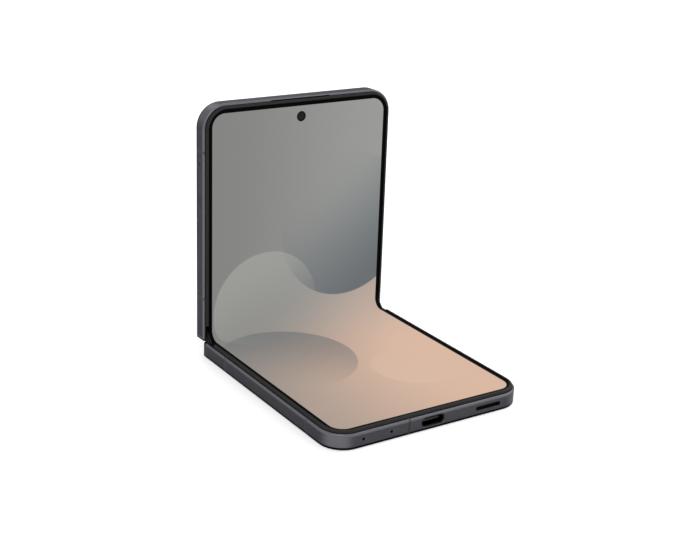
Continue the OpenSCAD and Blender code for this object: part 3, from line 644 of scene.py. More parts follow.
@dataclass(frozen=True)
class AnodisedMetal(Finish):
    """Anodised aluminium with a painted highlight along its front edges, near the fold end and on its
    corners, and painted shade at the back, the fold end and inside.
    """

    colour: Colour = tone(69, 69, 74)
    # Painted highlight colour of the front edge band, the fold-end line and the corners.
    painted_highlight: Colour = tone(100, 100, 105)
    # Painted shade colour of the back edge, the fold end and the inner walls.
    shade: Colour = tone(9, 9, 10)
    roughness: float = 0.42
    grain: float = 0.00012
    highlight_band: Pair = (1.2, 0.48)
    end_highlight: Pair = (0.5, 0.2)
    corner_highlight_share: float = 0.9
    outer_skin: Pair = (0.7, 0.64)
    end_line: float = 1.2
    end_fade: float = 0.15
    half: Half = Half.LOWER

    def dress(self, net: Surface) -> None:
        """Masks the painted highlight and the painted shade by their distance from the frame's edges.

        Args:
            net: The material's wiring.
        """
        phone = net.kit.phone
        here = net.half_place(self.half)
        place = net.group(net.kit.outline, Vector=here)
        from_fold = net.split(here)[1]
        front = -phone.trim_proud
        end_line = phone.end_bevel + self.end_line
        # Painted highlight: a lighter band below the front edge, a line near the fold end and the vertical
        # corners.
        painted_highlight = net.largest(
            net.step(place["Level"], front - self.highlight_band[0], front - self.highlight_band[1]),
            net.step(from_fold, end_line + self.end_highlight[0], end_line + self.end_highlight[1]),
            net.times(net.step(place["Corner"], 0.1, 1.0), self.corner_highlight_share),
        )
        painted_highlight = net.times(painted_highlight, net.step(place["Inset"], *self.outer_skin))
        # Painted shade: black on the rounded back edge, a line at the fold end and the inner walls, which
        # also turn less metallic and rougher.
        inner = net.largest(
            net.step(place["Inset"], phone.metal_lip - 0.02, phone.metal_lip + 0.04),
            net.step(place["Level"], front + 0.02, front + 0.06),
        )
        end = net.step(from_fold, end_line, end_line - self.end_fade)
        painted_shade = net.largest(net.back_edge(place["Level"]), end, inner)
        height, patches = net.grained(self.grain)
        varied = net.mix(patches, self.colour, shaded(self.colour, 0.92))
        rough = net.math("SUBTRACT", net.dulled(height, self.roughness, 0.12), net.times(painted_highlight, 0.06))
        normal, _ = net.softened(0.00012)
        net.paint(
            Specular_Tint=(0.5, 0.5, 0.51, 1.0),
            Metallic=net.math("SUBTRACT", 1.0, net.times(inner, 0.8)),
            Base_Color=net.mix(painted_shade, net.mix(painted_highlight, varied, self.painted_highlight), self.shade),
            Roughness=net.math("MULTIPLY_ADD", inner, 0.25, rough),
            Normal=net.bump(height, 0.000006, 0.35, normal),
        )


@dataclass(frozen=True)
class PlainMetal(Finish):
    """Bare or plated metal with a drawn grain, a little brighter along its edges, and with painted shade on
    its ends past a given half width where one is given.
    """

    colour: Colour = tone(150, 150, 154)
    roughness: float = 0.3
    stretch: Triple = (0.05, 1.0, 1.0)
    grain: float = 0.0002
    edge: float = 0.00008
    edge_tint: float = 1.0
    # Half width past which the ends get painted shade, and the colour of that shade.
    shade_beyond: float = 0.0
    dark: Colour = tone(4, 4, 4)

    def dress(self, net: Surface) -> None:
        """Draws the grain out one way, and paints shade on the ends past a given half width.

        Args:
            net: The material's wiring.
        """
        height, patches = net.grained(self.grain, net.vector("MULTIPLY", net.here, self.stretch).outputs[0])
        normal, bright_edges = net.softened(self.edge)
        base = net.mix(patches, self.colour, shaded(self.colour, 0.8))
        base = net.mix(bright_edges, base, shaded(self.colour, 1.25))
        # Painted shade on the ends past the given half width, which lie in the gap at the fold's ends.
        if self.shade_beyond:
            across = net.math("ABSOLUTE", net.split(net.here)[0])
            ends = net.step(across, (self.shade_beyond - 0.05) * MM, self.shade_beyond * MM)
            base = net.mix(ends, base, self.dark)
        net.paint(
            Metallic=1.0,
            Specular_Tint=(self.edge_tint, self.edge_tint, self.edge_tint, 1.0),
            Base_Color=base,
            Roughness=net.dulled(height, self.roughness),
            Normal=net.bump(height, 0.000008, 0.4, normal),
        )


@dataclass(frozen=True)
class MouldedPlastic(Finish):
    """Moulded plastic with a fine skin grain, dusted a little paler, and in a half's side wall a painted
    highlight band and painted shade on the back edge.
    """

    colour: Colour = tone(46, 45, 46)
    roughness: float = 0.45
    grain: float = 0.00015
    specular: float = 0.4
    half: Optional[Half] = None
    front_highlight_band: Pair = (1.2, 0.5)
    painted_highlight_tone: Colour = tone(74, 74, 78)
    painted_shade_tone: Colour = tone(12, 12, 13)

    def banded(self, net: Surface, base: Socket) -> Socket:
        """Paints the metal's highlight band and back-edge shade where the plastic lies in a half's side wall.

        Args:
            net: The material's wiring.
            base: The plastic's colour.

        Returns:
            The colour with its painted highlight and shade.
        """
        if self.half is None:
            return base
        level = net.split(net.half_place(self.half))[2]
        front = -net.kit.phone.trim_proud
        # Painted highlight band below the front edge, then painted shade on the back edge, as on the metal.
        low, high = self.front_highlight_band
        base = net.mix(net.step(level, front - low, front - high), base, self.painted_highlight_tone)
        return net.mix(net.back_edge(level), base, self.painted_shade_tone)

    def dress(self, net: Surface) -> None:
        """Dusts the colour by the grain's slow tone.

        Args:
            net: The material's wiring.
        """
        height, patches = net.grained(self.grain)
        normal, _ = net.softened(0.0001)
        base = net.mix(net.times(patches, 0.5), self.colour, shaded(self.colour, 1.25, 0.002))
        net.paint(
            Specular_IOR_Level=self.specular,
            Base_Color=self.banded(net, base),
            Roughness=net.dulled(height, self.roughness),
            Normal=net.bump(height, 0.00001, 0.5, normal),
        )


@dataclass(frozen=True)
class RaisedTrim(MouldedPlastic):
    """The raised border moulding: dull outside, with painted shade on top and a black painted shade line
    along its inner edge.
    """

    colour: Colour = tone(51, 50, 51)
    roughness: float = 0.5
    grain: float = 0.00012
    specular: float = 0.04
    # Painted shade colours: a darker top, and a black line along the inner edge.
    top: Colour = tone(50, 48, 48)
    line: Colour = tone(3, 3, 3)
    shade_line_w: float = 0.3

    def banded(self, net: Surface, base: Socket) -> Socket:
        """Paints shade on the top and a black shade line along the inner edge.

        Args:
            net: The material's wiring.
            base: The plastic's colour.

        Returns:
            The colour with its painted shade.
        """
        place = net.group(net.kit.outline, Vector=net.half_place(self.half))
        inner = net.kit.phone.screen_inset - self.shade_line_w
        # Painted shade on the trim's top and along its inner edge.
        base = net.mix(net.step(place["Level"], -0.22, -0.1), base, self.top)
        return net.mix(net.step(place["Inset"], inner - 0.15, inner + 0.1), base, self.line)


@dataclass(frozen=True)
class RidgedCap(Finish):
    """Soft black cap with thin ridges across it, as deep as it reaches down the spine."""

    colour: Colour = tone(5, 5, 5)
    pale: Colour = tone(18, 18, 19)
    pitch: float = 0.42

    def dress(self, net: Surface) -> None:
        """Raises the ridges below the cap's top.

        Args:
            net: The material's wiring.
        """
        _, across, level = net.split(net.half_place(Half.SPINE))
        ridge = net.times(net.step(net.wave(across, self.pitch), -0.6, 0.6), net.step(level, -0.35, -0.5))
        height, _ = net.grained(0.0002)
        net.paint(
            Specular_IOR_Level=0.12,
            Base_Color=net.mix(ridge, self.colour, self.pale),
            Roughness=net.dulled(height, 0.6),
            Normal=net.bump(net.math("MULTIPLY_ADD", height, 0.15, ridge), 0.00008, 0.8),
        )


@dataclass(frozen=True)
class SmoothGlass(Finish):
    """Glass over a dark print: polished for the cover, etched for the back."""

    colour: Colour = tone(20, 20, 22)
    roughness: float = 0.08
    sparkle: float = 0.0
    specular: float = 0.5

    def dress(self, net: Surface) -> None:
        """Lays wiped marks and the etched sparkle over the print.

        Args:
            net: The material's wiring.
        """
        marks = net.group(net.kit.smudges, Vector=net.here, Size=0.03)["Mask"]
        height, _ = net.grained(0.00008)
        normal, _ = net.softened(0.00015)
        lift = net.math("MULTIPLY_ADD", marks, 0.25, net.times(height, self.sparkle))
        net.paint(
            Specular_IOR_Level=self.specular,
            Base_Color=net.mix(lift, self.colour, shaded(self.colour, 1.35, 0.004)),
            Roughness=net.math("MULTIPLY_ADD", marks, 0.06, self.roughness),
            Normal=net.bump(height, 0.000003 * self.sparkle, 0.5, normal),
        )


@dataclass(frozen=True)
class LitScreen(Finish):
    """The lit display under its clear film: soft dusk colours with faded discs, inside a black border."""

    half_w: float = 34.58
    corner: float = 4.8
    ends: Pair = (-79.19, 79.02)
    uv_scale: Pair = (80.0, 170.0)
    upper_left: Colour = tone(131, 131, 129)
    upper_right: Colour = tone(153, 154, 152)
    upper_span: Pair = (-38.0, 38.0)
    lower_left: Colour = tone(164, 151, 142)
    lower_right: Colour = tone(216, 182, 160)
    lower_span: Pair = (-54.0, 26.0)
    sweep_span: Pair = (22.0, -52.0)
    sweep_slant: float = -0.55
    slate: Colour = tone(84, 96, 103)
    mist: Colour = tone(170, 170, 166)
    blush: Colour = tone(216, 186, 165)
    border: Colour = (0.002, 0.002, 0.002, 1.0)
    film: Colour = (0.006, 0.006, 0.006, 1.0)

    def wallpaper(self, net: Surface, place: Socket) -> Socket:
        """Draws the wallpaper.

        Args:
            net: The material's wiring.
            place: Millimetres across and along the unrolled screen.

        Returns:
            Its colour.
        """
        x, v, _ = net.split(place)
        lower = net.mix(net.step(x, *self.lower_span), self.lower_left, self.lower_right)
        upper = net.mix(net.step(x, *self.upper_span), self.upper_left, self.upper_right)
        sweep = net.math("MULTIPLY_ADD", x, self.sweep_slant, v)
        colour = net.mix(net.step(sweep, *self.sweep_span), upper, lower)
        for centre, radius, fade, paint, share in (
            ((20.0, 34.0, 0.0), 27.0, (-0.6, 0.8, 0.0), self.slate, 0.85),
            ((-13.0, 7.0, 0.0), 21.0, (0.5, -0.87, 0.0), self.mist, 0.55),
            ((-20.0, -26.0, 0.0), 24.0, (-0.8, -0.6, 0.0), self.slate, 0.5),
            ((16.0, -50.0, 0.0), 15.0, (0.9, 0.44, 0.0), self.blush, 0.6),
        ):
            disc = net.group(net.kit.disc, Vector=place, Centre=centre, Radius=radius, Fade=fade)
            colour = net.mix(net.times(disc["Mask"], share), colour, paint)
        return colour

    def active_area(self, net: Surface, place: Socket) -> Socket:
        """Gives 1 where the display shines and 0 on its black border.

        Args:
            net: The material's wiring.
            place: Millimetres across and along the unrolled screen.

        Returns:
            The mask.
        """
        x, v, _ = net.split(place)
        middle, reach = sum(self.ends) / 2, (self.ends[1] - self.ends[0]) / 2
        from_middle = net.math("ABSOLUTE", net.math("SUBTRACT", v, middle))
        distance, _ = net.rounded(
            net.math("SUBTRACT", net.math("ABSOLUTE", x), self.half_w - self.corner),
            net.math("SUBTRACT", from_middle, reach - self.corner),
        )
        return net.step(net.math("SUBTRACT", distance, self.corner), 0.04, -0.04)

    def dress(self, net: Surface) -> None:
        """Lights the display in the unrolled coordinates, so that it bends with the screen.

        Args:
            net: The material's wiring.
        """
        uv = net.add("ShaderNodeUVMap", uv_map="unrolled").outputs["UV"]
        centred = net.vector("SUBTRACT", uv, (0.5, 0.5, 0.0)).outputs[0]
        place = net.vector("MULTIPLY", centred, self.uv_scale + (1.0,)).outputs[0]
        area = self.active_area(net, place)
        marks = net.group(net.kit.smudges, Vector=place, Size=30.0)["Mask"]
        net.paint(
            Specular_IOR_Level=0.012,
            Emission_Strength=1.0,
            Base_Color=net.mix(area, self.border, self.film),
            Emission_Color=net.mix(area, (0.0, 0.0, 0.0, 1.0), self.wallpaper(net, place)),
            Roughness=net.math("MULTIPLY_ADD", marks, 0.08, 0.3),
        )


@dataclass(frozen=True)
class CircuitBoard(Finish):
    """Solder mask over etched copper tracks."""

    colour: Colour = tone(22, 62, 44)
    track: Colour = tone(40, 92, 62)
    tracks_in_metre: float = 900.0

    def dress(self, net: Surface) -> None:
        """Raises the tracks a little.

        Args:
            net: The material's wiring.
        """
        cells = net.cells(self.tracks_in_metre, distance="MANHATTAN")
        tracks = net.step(cells.outputs["Distance"], 0.42, 0.46)
        height, _ = net.grained(0.0003)
        net.paint(
            Base_Color=net.mix(tracks, self.colour, self.track),
            Roughness=net.dulled(height, 0.45),
            Normal=net.bump(tracks, 0.00003, 0.6),
        )


@dataclass(frozen=True)
class RolledFoil(Finish):
    """A dark battery pouch with faint creases."""

    colour: Colour = tone(52, 52, 56)

    def dress(self, net: Surface) -> None:
        """Draws the creases out along the pouch.

        Args:
            net: The material's wiring.
        """
        crease = net.noise(net.here, 140.0, 6.0, (1.0, 0.3, 1.0))
        _, patches = net.grained(0.0004)
        net.paint(
            Metallic=net.math("MULTIPLY_ADD", patches, 0.3, 0.3),
            Base_Color=net.mix(crease, self.colour, shaded(self.colour, 1.5)),
            Roughness=net.math("MULTIPLY_ADD", crease, 0.3, 0.3),
            Normal=net.bump(crease, 0.00015, 0.5),
        )


@dataclass(frozen=True)
class TurnedFace(Finish):
    """A face with turned or wound rings about the nearest of its centres."""

    colour: Colour
    dark: Colour
    centres: tuple[Pair, ...]
    pitch: float
    depth: float
    metallic: float = 1.0
    roughness: float = 0.28
    half: Half = Half.UPPER

    def dress(self, net: Surface) -> None:
        """Takes each point's ring height from the centre that is nearest to it.

        Args:
            net: The material's wiring.
        """
        rings = net.rings(net.half_place(self.half), self.centres, self.pitch)
        height, radius = rings[0]["Height"], rings[0]["Radius"]
        for ring in rings[1:]:
            nearer = net.math("LESS_THAN", ring["Radius"], radius)
            change = net.times(nearer, net.math("SUBTRACT", ring["Height"], height))
            height = net.math("ADD", height, change)
            radius = net.math("MINIMUM", radius, ring["Radius"])
        grain_height, _ = net.grained(0.0001)
        normal, _ = net.softened(0.0001)
        net.paint(
            Metallic=self.metallic,
            Base_Color=net.mix(height, self.dark, self.colour),
            Roughness=net.dulled(grain_height, self.roughness, 0.12),
            Normal=net.bump(height, self.depth, 0.5, normal),
        )


@dataclass(frozen=True)
class LensFace(Finish):
    """Coated lens glass in black stepped rings, painted by the distance from each lens's centre."""

    centres: tuple[Pair, ...]
    lens_r: float
    rim_r: float
    glass: Colour
    coating: Colour
    rim: Colour = tone(4, 4, 4)
    ring: Colour = tone(40, 40, 43)
    specular: float = 0.5
    pitch: float = 0.24

    def dress(self, net: Surface) -> None:
        """Paints the lens, the rings round it and the rim past them.

        Args:
            net: The material's wiring.
        """
        rings = net.rings(net.half_place(Half.UPPER), self.centres, self.pitch)
        wave = net.largest(*(ring["Height"] for ring in rings))
        radius = reduce(partial(net.math, "MINIMUM"), (ring["Radius"] for ring in rings))
        marks = net.group(net.kit.smudges, Vector=net.here, Size=0.004)["Mask"]
        outside = net.step(radius, self.lens_r - 0.04, self.lens_r + 0.04)
        border = net.step(radius, self.rim_r - 0.03, self.rim_r + 0.03)
        lens = net.mix(net.step(radius, 0.0, self.lens_r), self.coating, self.glass)
        steps = net.mix(net.times(wave, 0.6), self.rim, self.ring)
        net.paint(
            Specular_IOR_Level=self.specular,
            Base_Color=net.mix(border, net.mix(outside, lens, steps), self.rim),
            Roughness=net.math("MULTIPLY_ADD", marks, 0.08, 0.1),
            Normal=net.bump(net.times(wave, net.math("SUBTRACT", outside, border)), 0.00004, 0.4),
        )


@dataclass(frozen=True)
class PerforatedMesh(Finish):
    """Fine acoustic mesh: dark round holes in a woven film."""

    colour: Colour = tone(11, 11, 12)
    hole: Colour = tone(1, 1, 1)
    pitch: float = 0.00035
    specular: float = 0.1

    def dress(self, net: Surface) -> None:
        """Sets the holes in even rows.

        Args:
            net: The material's wiring.
        """
        cells = net.cells(1 / self.pitch)
        net.feed(cells.inputs["Randomness"], 0.0)
        film = net.step(cells.outputs["Distance"], 0.3, 0.38)
        net.paint(
            Specular_IOR_Level=self.specular,
            Base_Color=net.mix(film, self.hole, self.colour),
            Roughness=net.math("MULTIPLY_ADD", film, -0.2, 0.7),
            Normal=net.bump(film, 0.00004, 0.8),
        )


@dataclass(frozen=True)
class FlexFilm(Finish):
    """Amber film cable with its copper lines showing through."""

    colour: Colour = tone(112, 70, 26)
    line: Colour = tone(176, 112, 50)
    pitch: float = 0.0004

    def dress(self, net: Surface) -> None:
        """Runs the lines along the cable.

        Args:
            net: The material's wiring.
        """
        lines = net.step(net.wave(net.split(net.here)[0], self.pitch), -0.2, 0.2)
        height, _ = net.grained(0.0002)
        net.paint(
            Base_Color=net.mix(lines, self.colour, self.line),
            Roughness=net.dulled(height, 0.38),
            Normal=net.bump(lines, 0.00002, 0.5),
        )


def new_piece(
    name: str, mesh: bmesh.types.BMesh, material: bpy.types.Material, smooth: float = 30.0
) -> bpy.types.Object:
    """Makes an object from a mesh under work.

    Args:
        name: The piece's name.
        mesh: Its mesh, in the part's frame, which is freed.
        material: Its material.
        smooth: Edges sharper than this many degrees stay sharp.

    Returns:
        The piece.
    """
    data = bpy.data.meshes.new(name)
    mesh.to_mesh(data)
    mesh.free()
    data.materials.append(material)
    data.polygons.foreach_set("use_smooth", [True] * len(data.polygons))
    data.set_sharp_from_angle(angle=math.radians(smooth))
    piece = bpy.data.objects.new(name, data)
    bpy.context.scene.collection.objects.link(piece)
    return piece


def join_rows(mesh: bmesh.types.BMesh, a: Row, b: Row) -> None:
    """Joins two rows of points by a strip of faces."""
    for i in range(len(a) - 1):
        mesh.faces.new((a[i], a[i + 1], b[i + 1], b[i]))


def add_block(mesh: bmesh.types.BMesh, corners: Sequence[Vector]) -> None:
    """Adds a box with eight given corners: four of one face, then four of the other in the same order."""
    v = [mesh.verts.new(corner) for corner in corners]
    for face in ((3, 2, 1, 0), (4, 5, 6, 7), (0, 1, 5, 4), (1, 2, 6, 5), (2, 3, 7, 6), (3, 0, 4, 7)):
        mesh.faces.new([v[i] for i in face])


@dataclass
class BendingScreen:
    """The display as two thin closed skins that meet in mid fold, each with its share of the bend."""

    phone: PhoneLayout
    kit: EffectKit
    bend_rows: int = 14
    flat_rows: int = 6
    corner_rows: int = 16
    columns: int = 24
    camera_hole_r: float = 1.8
    cutter_depth: float = 3.0
    finish: LitScreen = field(default_factory=LitScreen)

    def surface(self, half: Half, x: float, along: float, depth: float) -> Vector:
        """Gives a point of the screen.

        Args:
            half: The half that it belongs to.
            x: Across the phone.
            along: Distance from the middle of the fold along the surface.
            depth: Distance below the surface.

        Returns:
            The point in metres.
        """
        phone = self.phone
        panel_start, bend_z = phone.screen_bend
        if along < phone.bend_length:
            angle = along / phone.fold_r
            radius = phone.fold_r + depth
            level = bend_z - radius * math.cos(angle)
            return phone.place(Half.SPINE, x, half.sign * radius * math.sin(angle), level)
        s = panel_start + along - phone.bend_length
        return phone.place(half, x, s, -phone.screen_recess - depth)

    def rows(self) -> list[Pair]:
        """Lists each row's distance along the surface and its half width."""
        phone = self.phone
        bend = phone.bend_length
        half_w = phone.body_w / 2 - phone.screen_inset
        corner = phone.corner_r - phone.screen_inset
        end = bend + phone.half_len - phone.screen_inset - phone.screen_bend[0]
        flat = end - corner - bend
        found = [(bend * i / self.bend_rows, half_w) for i in range(self.bend_rows + 1)]
        found += [(bend + flat * i / self.flat_rows, half_w) for i in range(1, self.flat_rows + 1)]
        for i in range(1, self.corner_rows + 1):
            angle = math.pi / 2 * i / self.corner_rows
            along = end - corner + corner * math.sin(angle)
            found.append((along, half_w - corner + corner * math.cos(angle)))
        return found

    def skin(self, half: Half, name: str, material: bpy.types.Material) -> bpy.types.Object:
        """Builds one half's skin.

        Args:
            half: The half.
            name: The piece's name.
            material: Its material.

        Returns:
            The piece.
        """
        mesh = bmesh.new()
        layer = mesh.loops.layers.uv.new("unrolled")
        across, reach = self.finish.uv_scale
        unrolled: dict[bmesh.types.BMVert, Pair] = {}
        grids: list[list[Row]] = []
        for depth in (0.0, self.phone.screen_t):
            grid = []
            for along, width in self.rows():
                row = []
                for i in range(self.columns + 1):
                    x = width * (2 * i / self.columns - 1)
                    vertex = mesh.verts.new(self.surface(half, x, along, depth))
                    unrolled[vertex] = (x / across + 0.5, half.sign * along / reach + 0.5)
                    row.append(vertex)
                grid.append(row)
            grids.append(grid)
        for grid in grids:
            for a, b in zip(grid, grid[1:]):
                join_rows(mesh, a, b)
        top, under = grids
        for i in (0, -1):
            join_rows(mesh, top[i], under[i])
        for i in (0, -1):
            join_rows(mesh, [row[i] for row in top], [row[i] for row in under])
        bmesh.ops.recalc_face_normals(mesh, faces=mesh.faces)
        for face in mesh.faces:
            for loop in face.loops:
                loop[layer].uv = unrolled[loop.vert]
        return new_piece(name, mesh, material)

    def cut_camera_hole(self, piece: bpy.types.Object) -> None:
        """Cuts the front camera's round hole through the upper skin.

        Args:
            piece: The upper skin.
        """
        phone = self.phone
        centre = phone.place(Half.UPPER, *phone.front_camera, -phone.screen_recess)
        turn = Matrix.Translation(centre) @ Matrix.Rotation(2 * phone.fold, 4, "X")
        radius, depth = self.camera_hole_r * MM, self.cutter_depth * MM
        cutter_mesh = bmesh.new()
        bmesh.ops.create_cone(
            cutter_mesh, cap_ends=True, segments=64, radius1=radius, radius2=radius, depth=depth, matrix=turn
        )
        cutter = new_piece("hole_cutter", cutter_mesh, piece.data.materials[0])
        cut = piece.modifiers.new("camera_hole", "BOOLEAN")
        cut.operation = "DIFFERENCE"
        cut.solver = "EXACT"
        cut.object = cutter
        graph = bpy.context.evaluated_depsgraph_get()
        data = bpy.data.meshes.new_from_object(piece.evaluated_get(graph))
        piece.modifiers.clear()
        old, piece.data = piece.data, data
        data.name = piece.name
        bpy.data.meshes.remove(old)
        bpy.data.objects.remove(cutter)
        data.set_sharp_from_angle(angle=math.radians(30))

    def build(self) -> list[bpy.types.Object]:
        """Builds both skins, cuts the camera hole in the upper one and hides the CAD screen nodes.

        Returns:
            The two skins.
        """
        material = self.finish.build("lit_screen", self.kit)
        lower = self.skin(Half.LOWER, "screen_skin_lower", material)
        upper = self.skin(Half.UPPER, "screen_skin_upper", material)
        self.cut_camera_hole(upper)
        centre = self.surface(Half.UPPER, 0, 0, 0)
        for piece, half in ((lower, Half.LOWER), (upper, Half.UPPER)):
            edge = self.surface(half, 0, self.phone.bend_length, 0)
            if half is Half.LOWER:
                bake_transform(piece)
                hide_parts("lower_screen", "fold_screen")
            else:
                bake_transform(piece)
                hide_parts("upper_screen")
        return [lower, upper]


@dataclass
class HingeRibbons:
    """The two film cables that cross the hinge, each half's share shaped round the fold at rest."""

    phone: PhoneLayout
    kit: EffectKit
    middles: Pair = (-32.4, 32.4)
    width: float = 4.0
    thick: float = 0.14
    bend_r: float = 1.2
    lift: float = 0.4
    end: float = 11.6
    tail: float = 1.9
    corner_r: float = 0.3
    steps: int = 12

    @property
    def bend(self) -> Pair:
        """Where the straight leg begins, from the fold line, and the level of the bend's centre line."""
        return self.phone.bend_at(self.lift, self.bend_r)

    def line(self, half: Half, x: float, under: float) -> list[Vector]:
        """Lists the points of one long edge, from the middle of the fold to the tail's end.

        Args:
            half: The half that the edge runs to.
            x: Across the phone.
            under: Distance below the film's middle.

        Returns:
            The points in metres.
        """
        phone = self.phone
        bend_z = self.bend[1]
        radius = self.bend_r + under
        points = []
        for i in range(self.steps + 1):
            angle = phone.fold * i / self.steps
            level = bend_z - radius * math.cos(angle)
            points.append(phone.place(Half.SPINE, x, half.sign * radius * math.sin(angle), level))
        top = self.lift - phone.axis_depth
        turn_s = self.end - self.thick / 2 - self.corner_r
        radius = self.corner_r - under
        for i in range(self.steps // 2 + 1):
            angle = math.pi * i / self.steps
            level = top - self.corner_r + radius * math.cos(angle)
            points.append(phone.place(half, x, turn_s + radius * math.sin(angle), level))
        points.append(phone.place(half, x, turn_s + radius, top - self.tail))
        return points

    def ribbons(self, half: Half, name: str, material: bpy.types.Material) -> bpy.types.Object:
        """Builds both cables' share on one half.

        Args:
            half: The half.
            name: The piece's name.
            material: Its material.

        Returns:
            The piece.
        """
        mesh = bmesh.new()
        for middle in self.middles:
            rails = []
            for side, under in ((-1, 1), (1, 1), (1, -1), (-1, -1)):
                points = self.line(half, middle + side * self.width / 2, under * self.thick / 2)
                rails.append([mesh.verts.new(point) for point in points])
            for a, b in zip(rails, rails[1:] + rails[:1]):
                join_rows(mesh, b, a)
            for i in (0, -1):
                mesh.faces.new([rail[i] for rail in rails])
        bmesh.ops.recalc_face_normals(mesh, faces=mesh.faces)
        return new_piece(name, mesh, material)

    def build(self) -> list[bpy.types.Object]:
        """Builds both halves' shares and hides the CAD cables.

        Returns:
            The two pieces.
        """
        material = FlexFilm().build("film_cable", self.kit)
        phone = self.phone
        leg_start, bend_z = self.bend
        centre = phone.place(Half.SPINE, 0, 0, bend_z - self.bend_r)
        pieces = []
        for half, name in ((Half.LOWER, "film_cables_lower"), (Half.UPPER, "film_cables_upper")):
            piece = self.ribbons(half, name, material)
            leg = phone.place(half, 0, leg_start, self.lift - phone.axis_depth)
            if half is Half.LOWER:
                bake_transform(piece)
                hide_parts("hinge_flex_cables")
            else:
                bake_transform(piece)
            pieces.append(piece)
        return pieces


@dataclass
class RearOptics:
    """The stepped lens stacks under the two rear camera windows."""

    phone: PhoneLayout
    kit: EffectKit
    face: float = -7.35
    tip: float = 0.12
    under: float = -6.95
    segments: int = 96
    lens_r: float = 2.1
    rim_r: float = 3.75
    profile: tuple[Pair, ...] = (
        (0.55, 0.13), (1.1, 0.16), (1.6, 0.21), (1.95, 0.27),
        (2.12, 0.33), (2.3, 0.33), (2.42, 0.2), (2.75, 0.2),
        (2.85, 0.16), (3.2, 0.16), (3.3, 0.1), (3.62, 0.1),
        (3.75, 0.02), (4.0, 0.0), (4.72, 0.0), (4.84, 0.08),
    )

    def stack(self, mesh: bmesh.types.BMesh, centre: Pair) -> None:
        """Adds one closed stack.

        Args:
            mesh: The mesh under work.
            centre: Its centre across the phone and from the fold, in millimetres.
        """

        def point(radius: float, turn: float, level: float) -> bmesh.types.BMVert:
            """Adds a point by radius, turn and level."""
            x = centre[0] + radius * math.cos(turn)
            s = centre[1] + radius * math.sin(turn)
            return mesh.verts.new(self.phone.place(Half.UPPER, x, s, level))

        turns = [2 * math.pi * i / self.segments for i in range(self.segments)]
        outline = [(r, self.face + depth) for r, depth in self.profile] + [(self.profile[-1][0], self.under)]
        rings = [[point(r, turn, level) for turn in turns] for r, level in outline]
        tip, base = point(0, 0, self.face + self.tip), point(0, 0, self.under)
        for i in range(self.segments):
            j = (i + 1) % self.segments
            mesh.faces.new((tip, rings[0][i], rings[0][j]))
            mesh.faces.new((base, rings[-1][j], rings[-1][i]))
            for a, b in zip(rings, rings[1:]):
                mesh.faces.new((a[i], b[i], b[j], a[j]))

    def build(self) -> bpy.types.Object:
        """Builds both stacks as one piece that stands for the window glass.

        Returns:
            The piece.
        """
        mesh = bmesh.new()
        for centre in self.phone.rear_cameras:
            self.stack(mesh, centre)
        bmesh.ops.recalc_face_normals(mesh, faces=mesh.faces)
        finish = LensFace(
            self.phone.rear_cameras,
            self.lens_r,
            self.rim_r,
            glass=tone(8, 9, 14),
            coating=tone(34, 46, 92),
            rim=tone(3, 3, 3),
            ring=tone(30, 30, 33),
            specular=0.25,
        )
        piece = new_piece("rear_lens_stacks", mesh, finish.build("coated_lenses", self.kit), 20.0)
        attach(piece, "upper_half")
        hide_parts("camera_lens_glass")
        return piece


@dataclass
class PortContacts:
    """The thin plated contact pads on both faces of the charging port's tongue."""

    phone: PhoneLayout
    kit: EffectKit
    count: int = 12
    pitch: float = 0.5
    pad_w: float = 0.27
    reach: Pair = (79.6, 81.4)
    middle: float = -3.5
    tongue_t: float = 0.7
    pad_t: float = 0.03
    sunk: float = 0.01

    def build(self) -> bpy.types.Object:
        """Builds all pads as one piece on the lower half.

        Returns:
            The piece.
        """
        mesh = bmesh.new()
        start, end = self.reach
        for side in (-1, 1):
            low = self.middle + side * (self.tongue_t / 2 - self.sunk)
            high = self.middle + side * (self.tongue_t / 2 + self.pad_t)
            for i in range(self.count):
                x = (i - (self.count - 1) / 2) * self.pitch
                corners = [
                    self.phone.place(Half.LOWER, x + dx * self.pad_w / 2, s, level)
                    for level in (low, high)
                    for dx, s in ((-1, start), (1, start), (1, end), (-1, end))
                ]
                add_block(mesh, corners)
        bmesh.ops.recalc_face_normals(mesh, faces=mesh.faces)
        finish = PlainMetal(tone(200, 170, 104), 0.3, (1.0, 0.2, 1.0), grain=0.0001, edge=0.00002)
        piece = new_piece("port_contact_pads", mesh, finish.build("contact_plating", self.kit))
        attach(piece, "lower_half")
        return piece


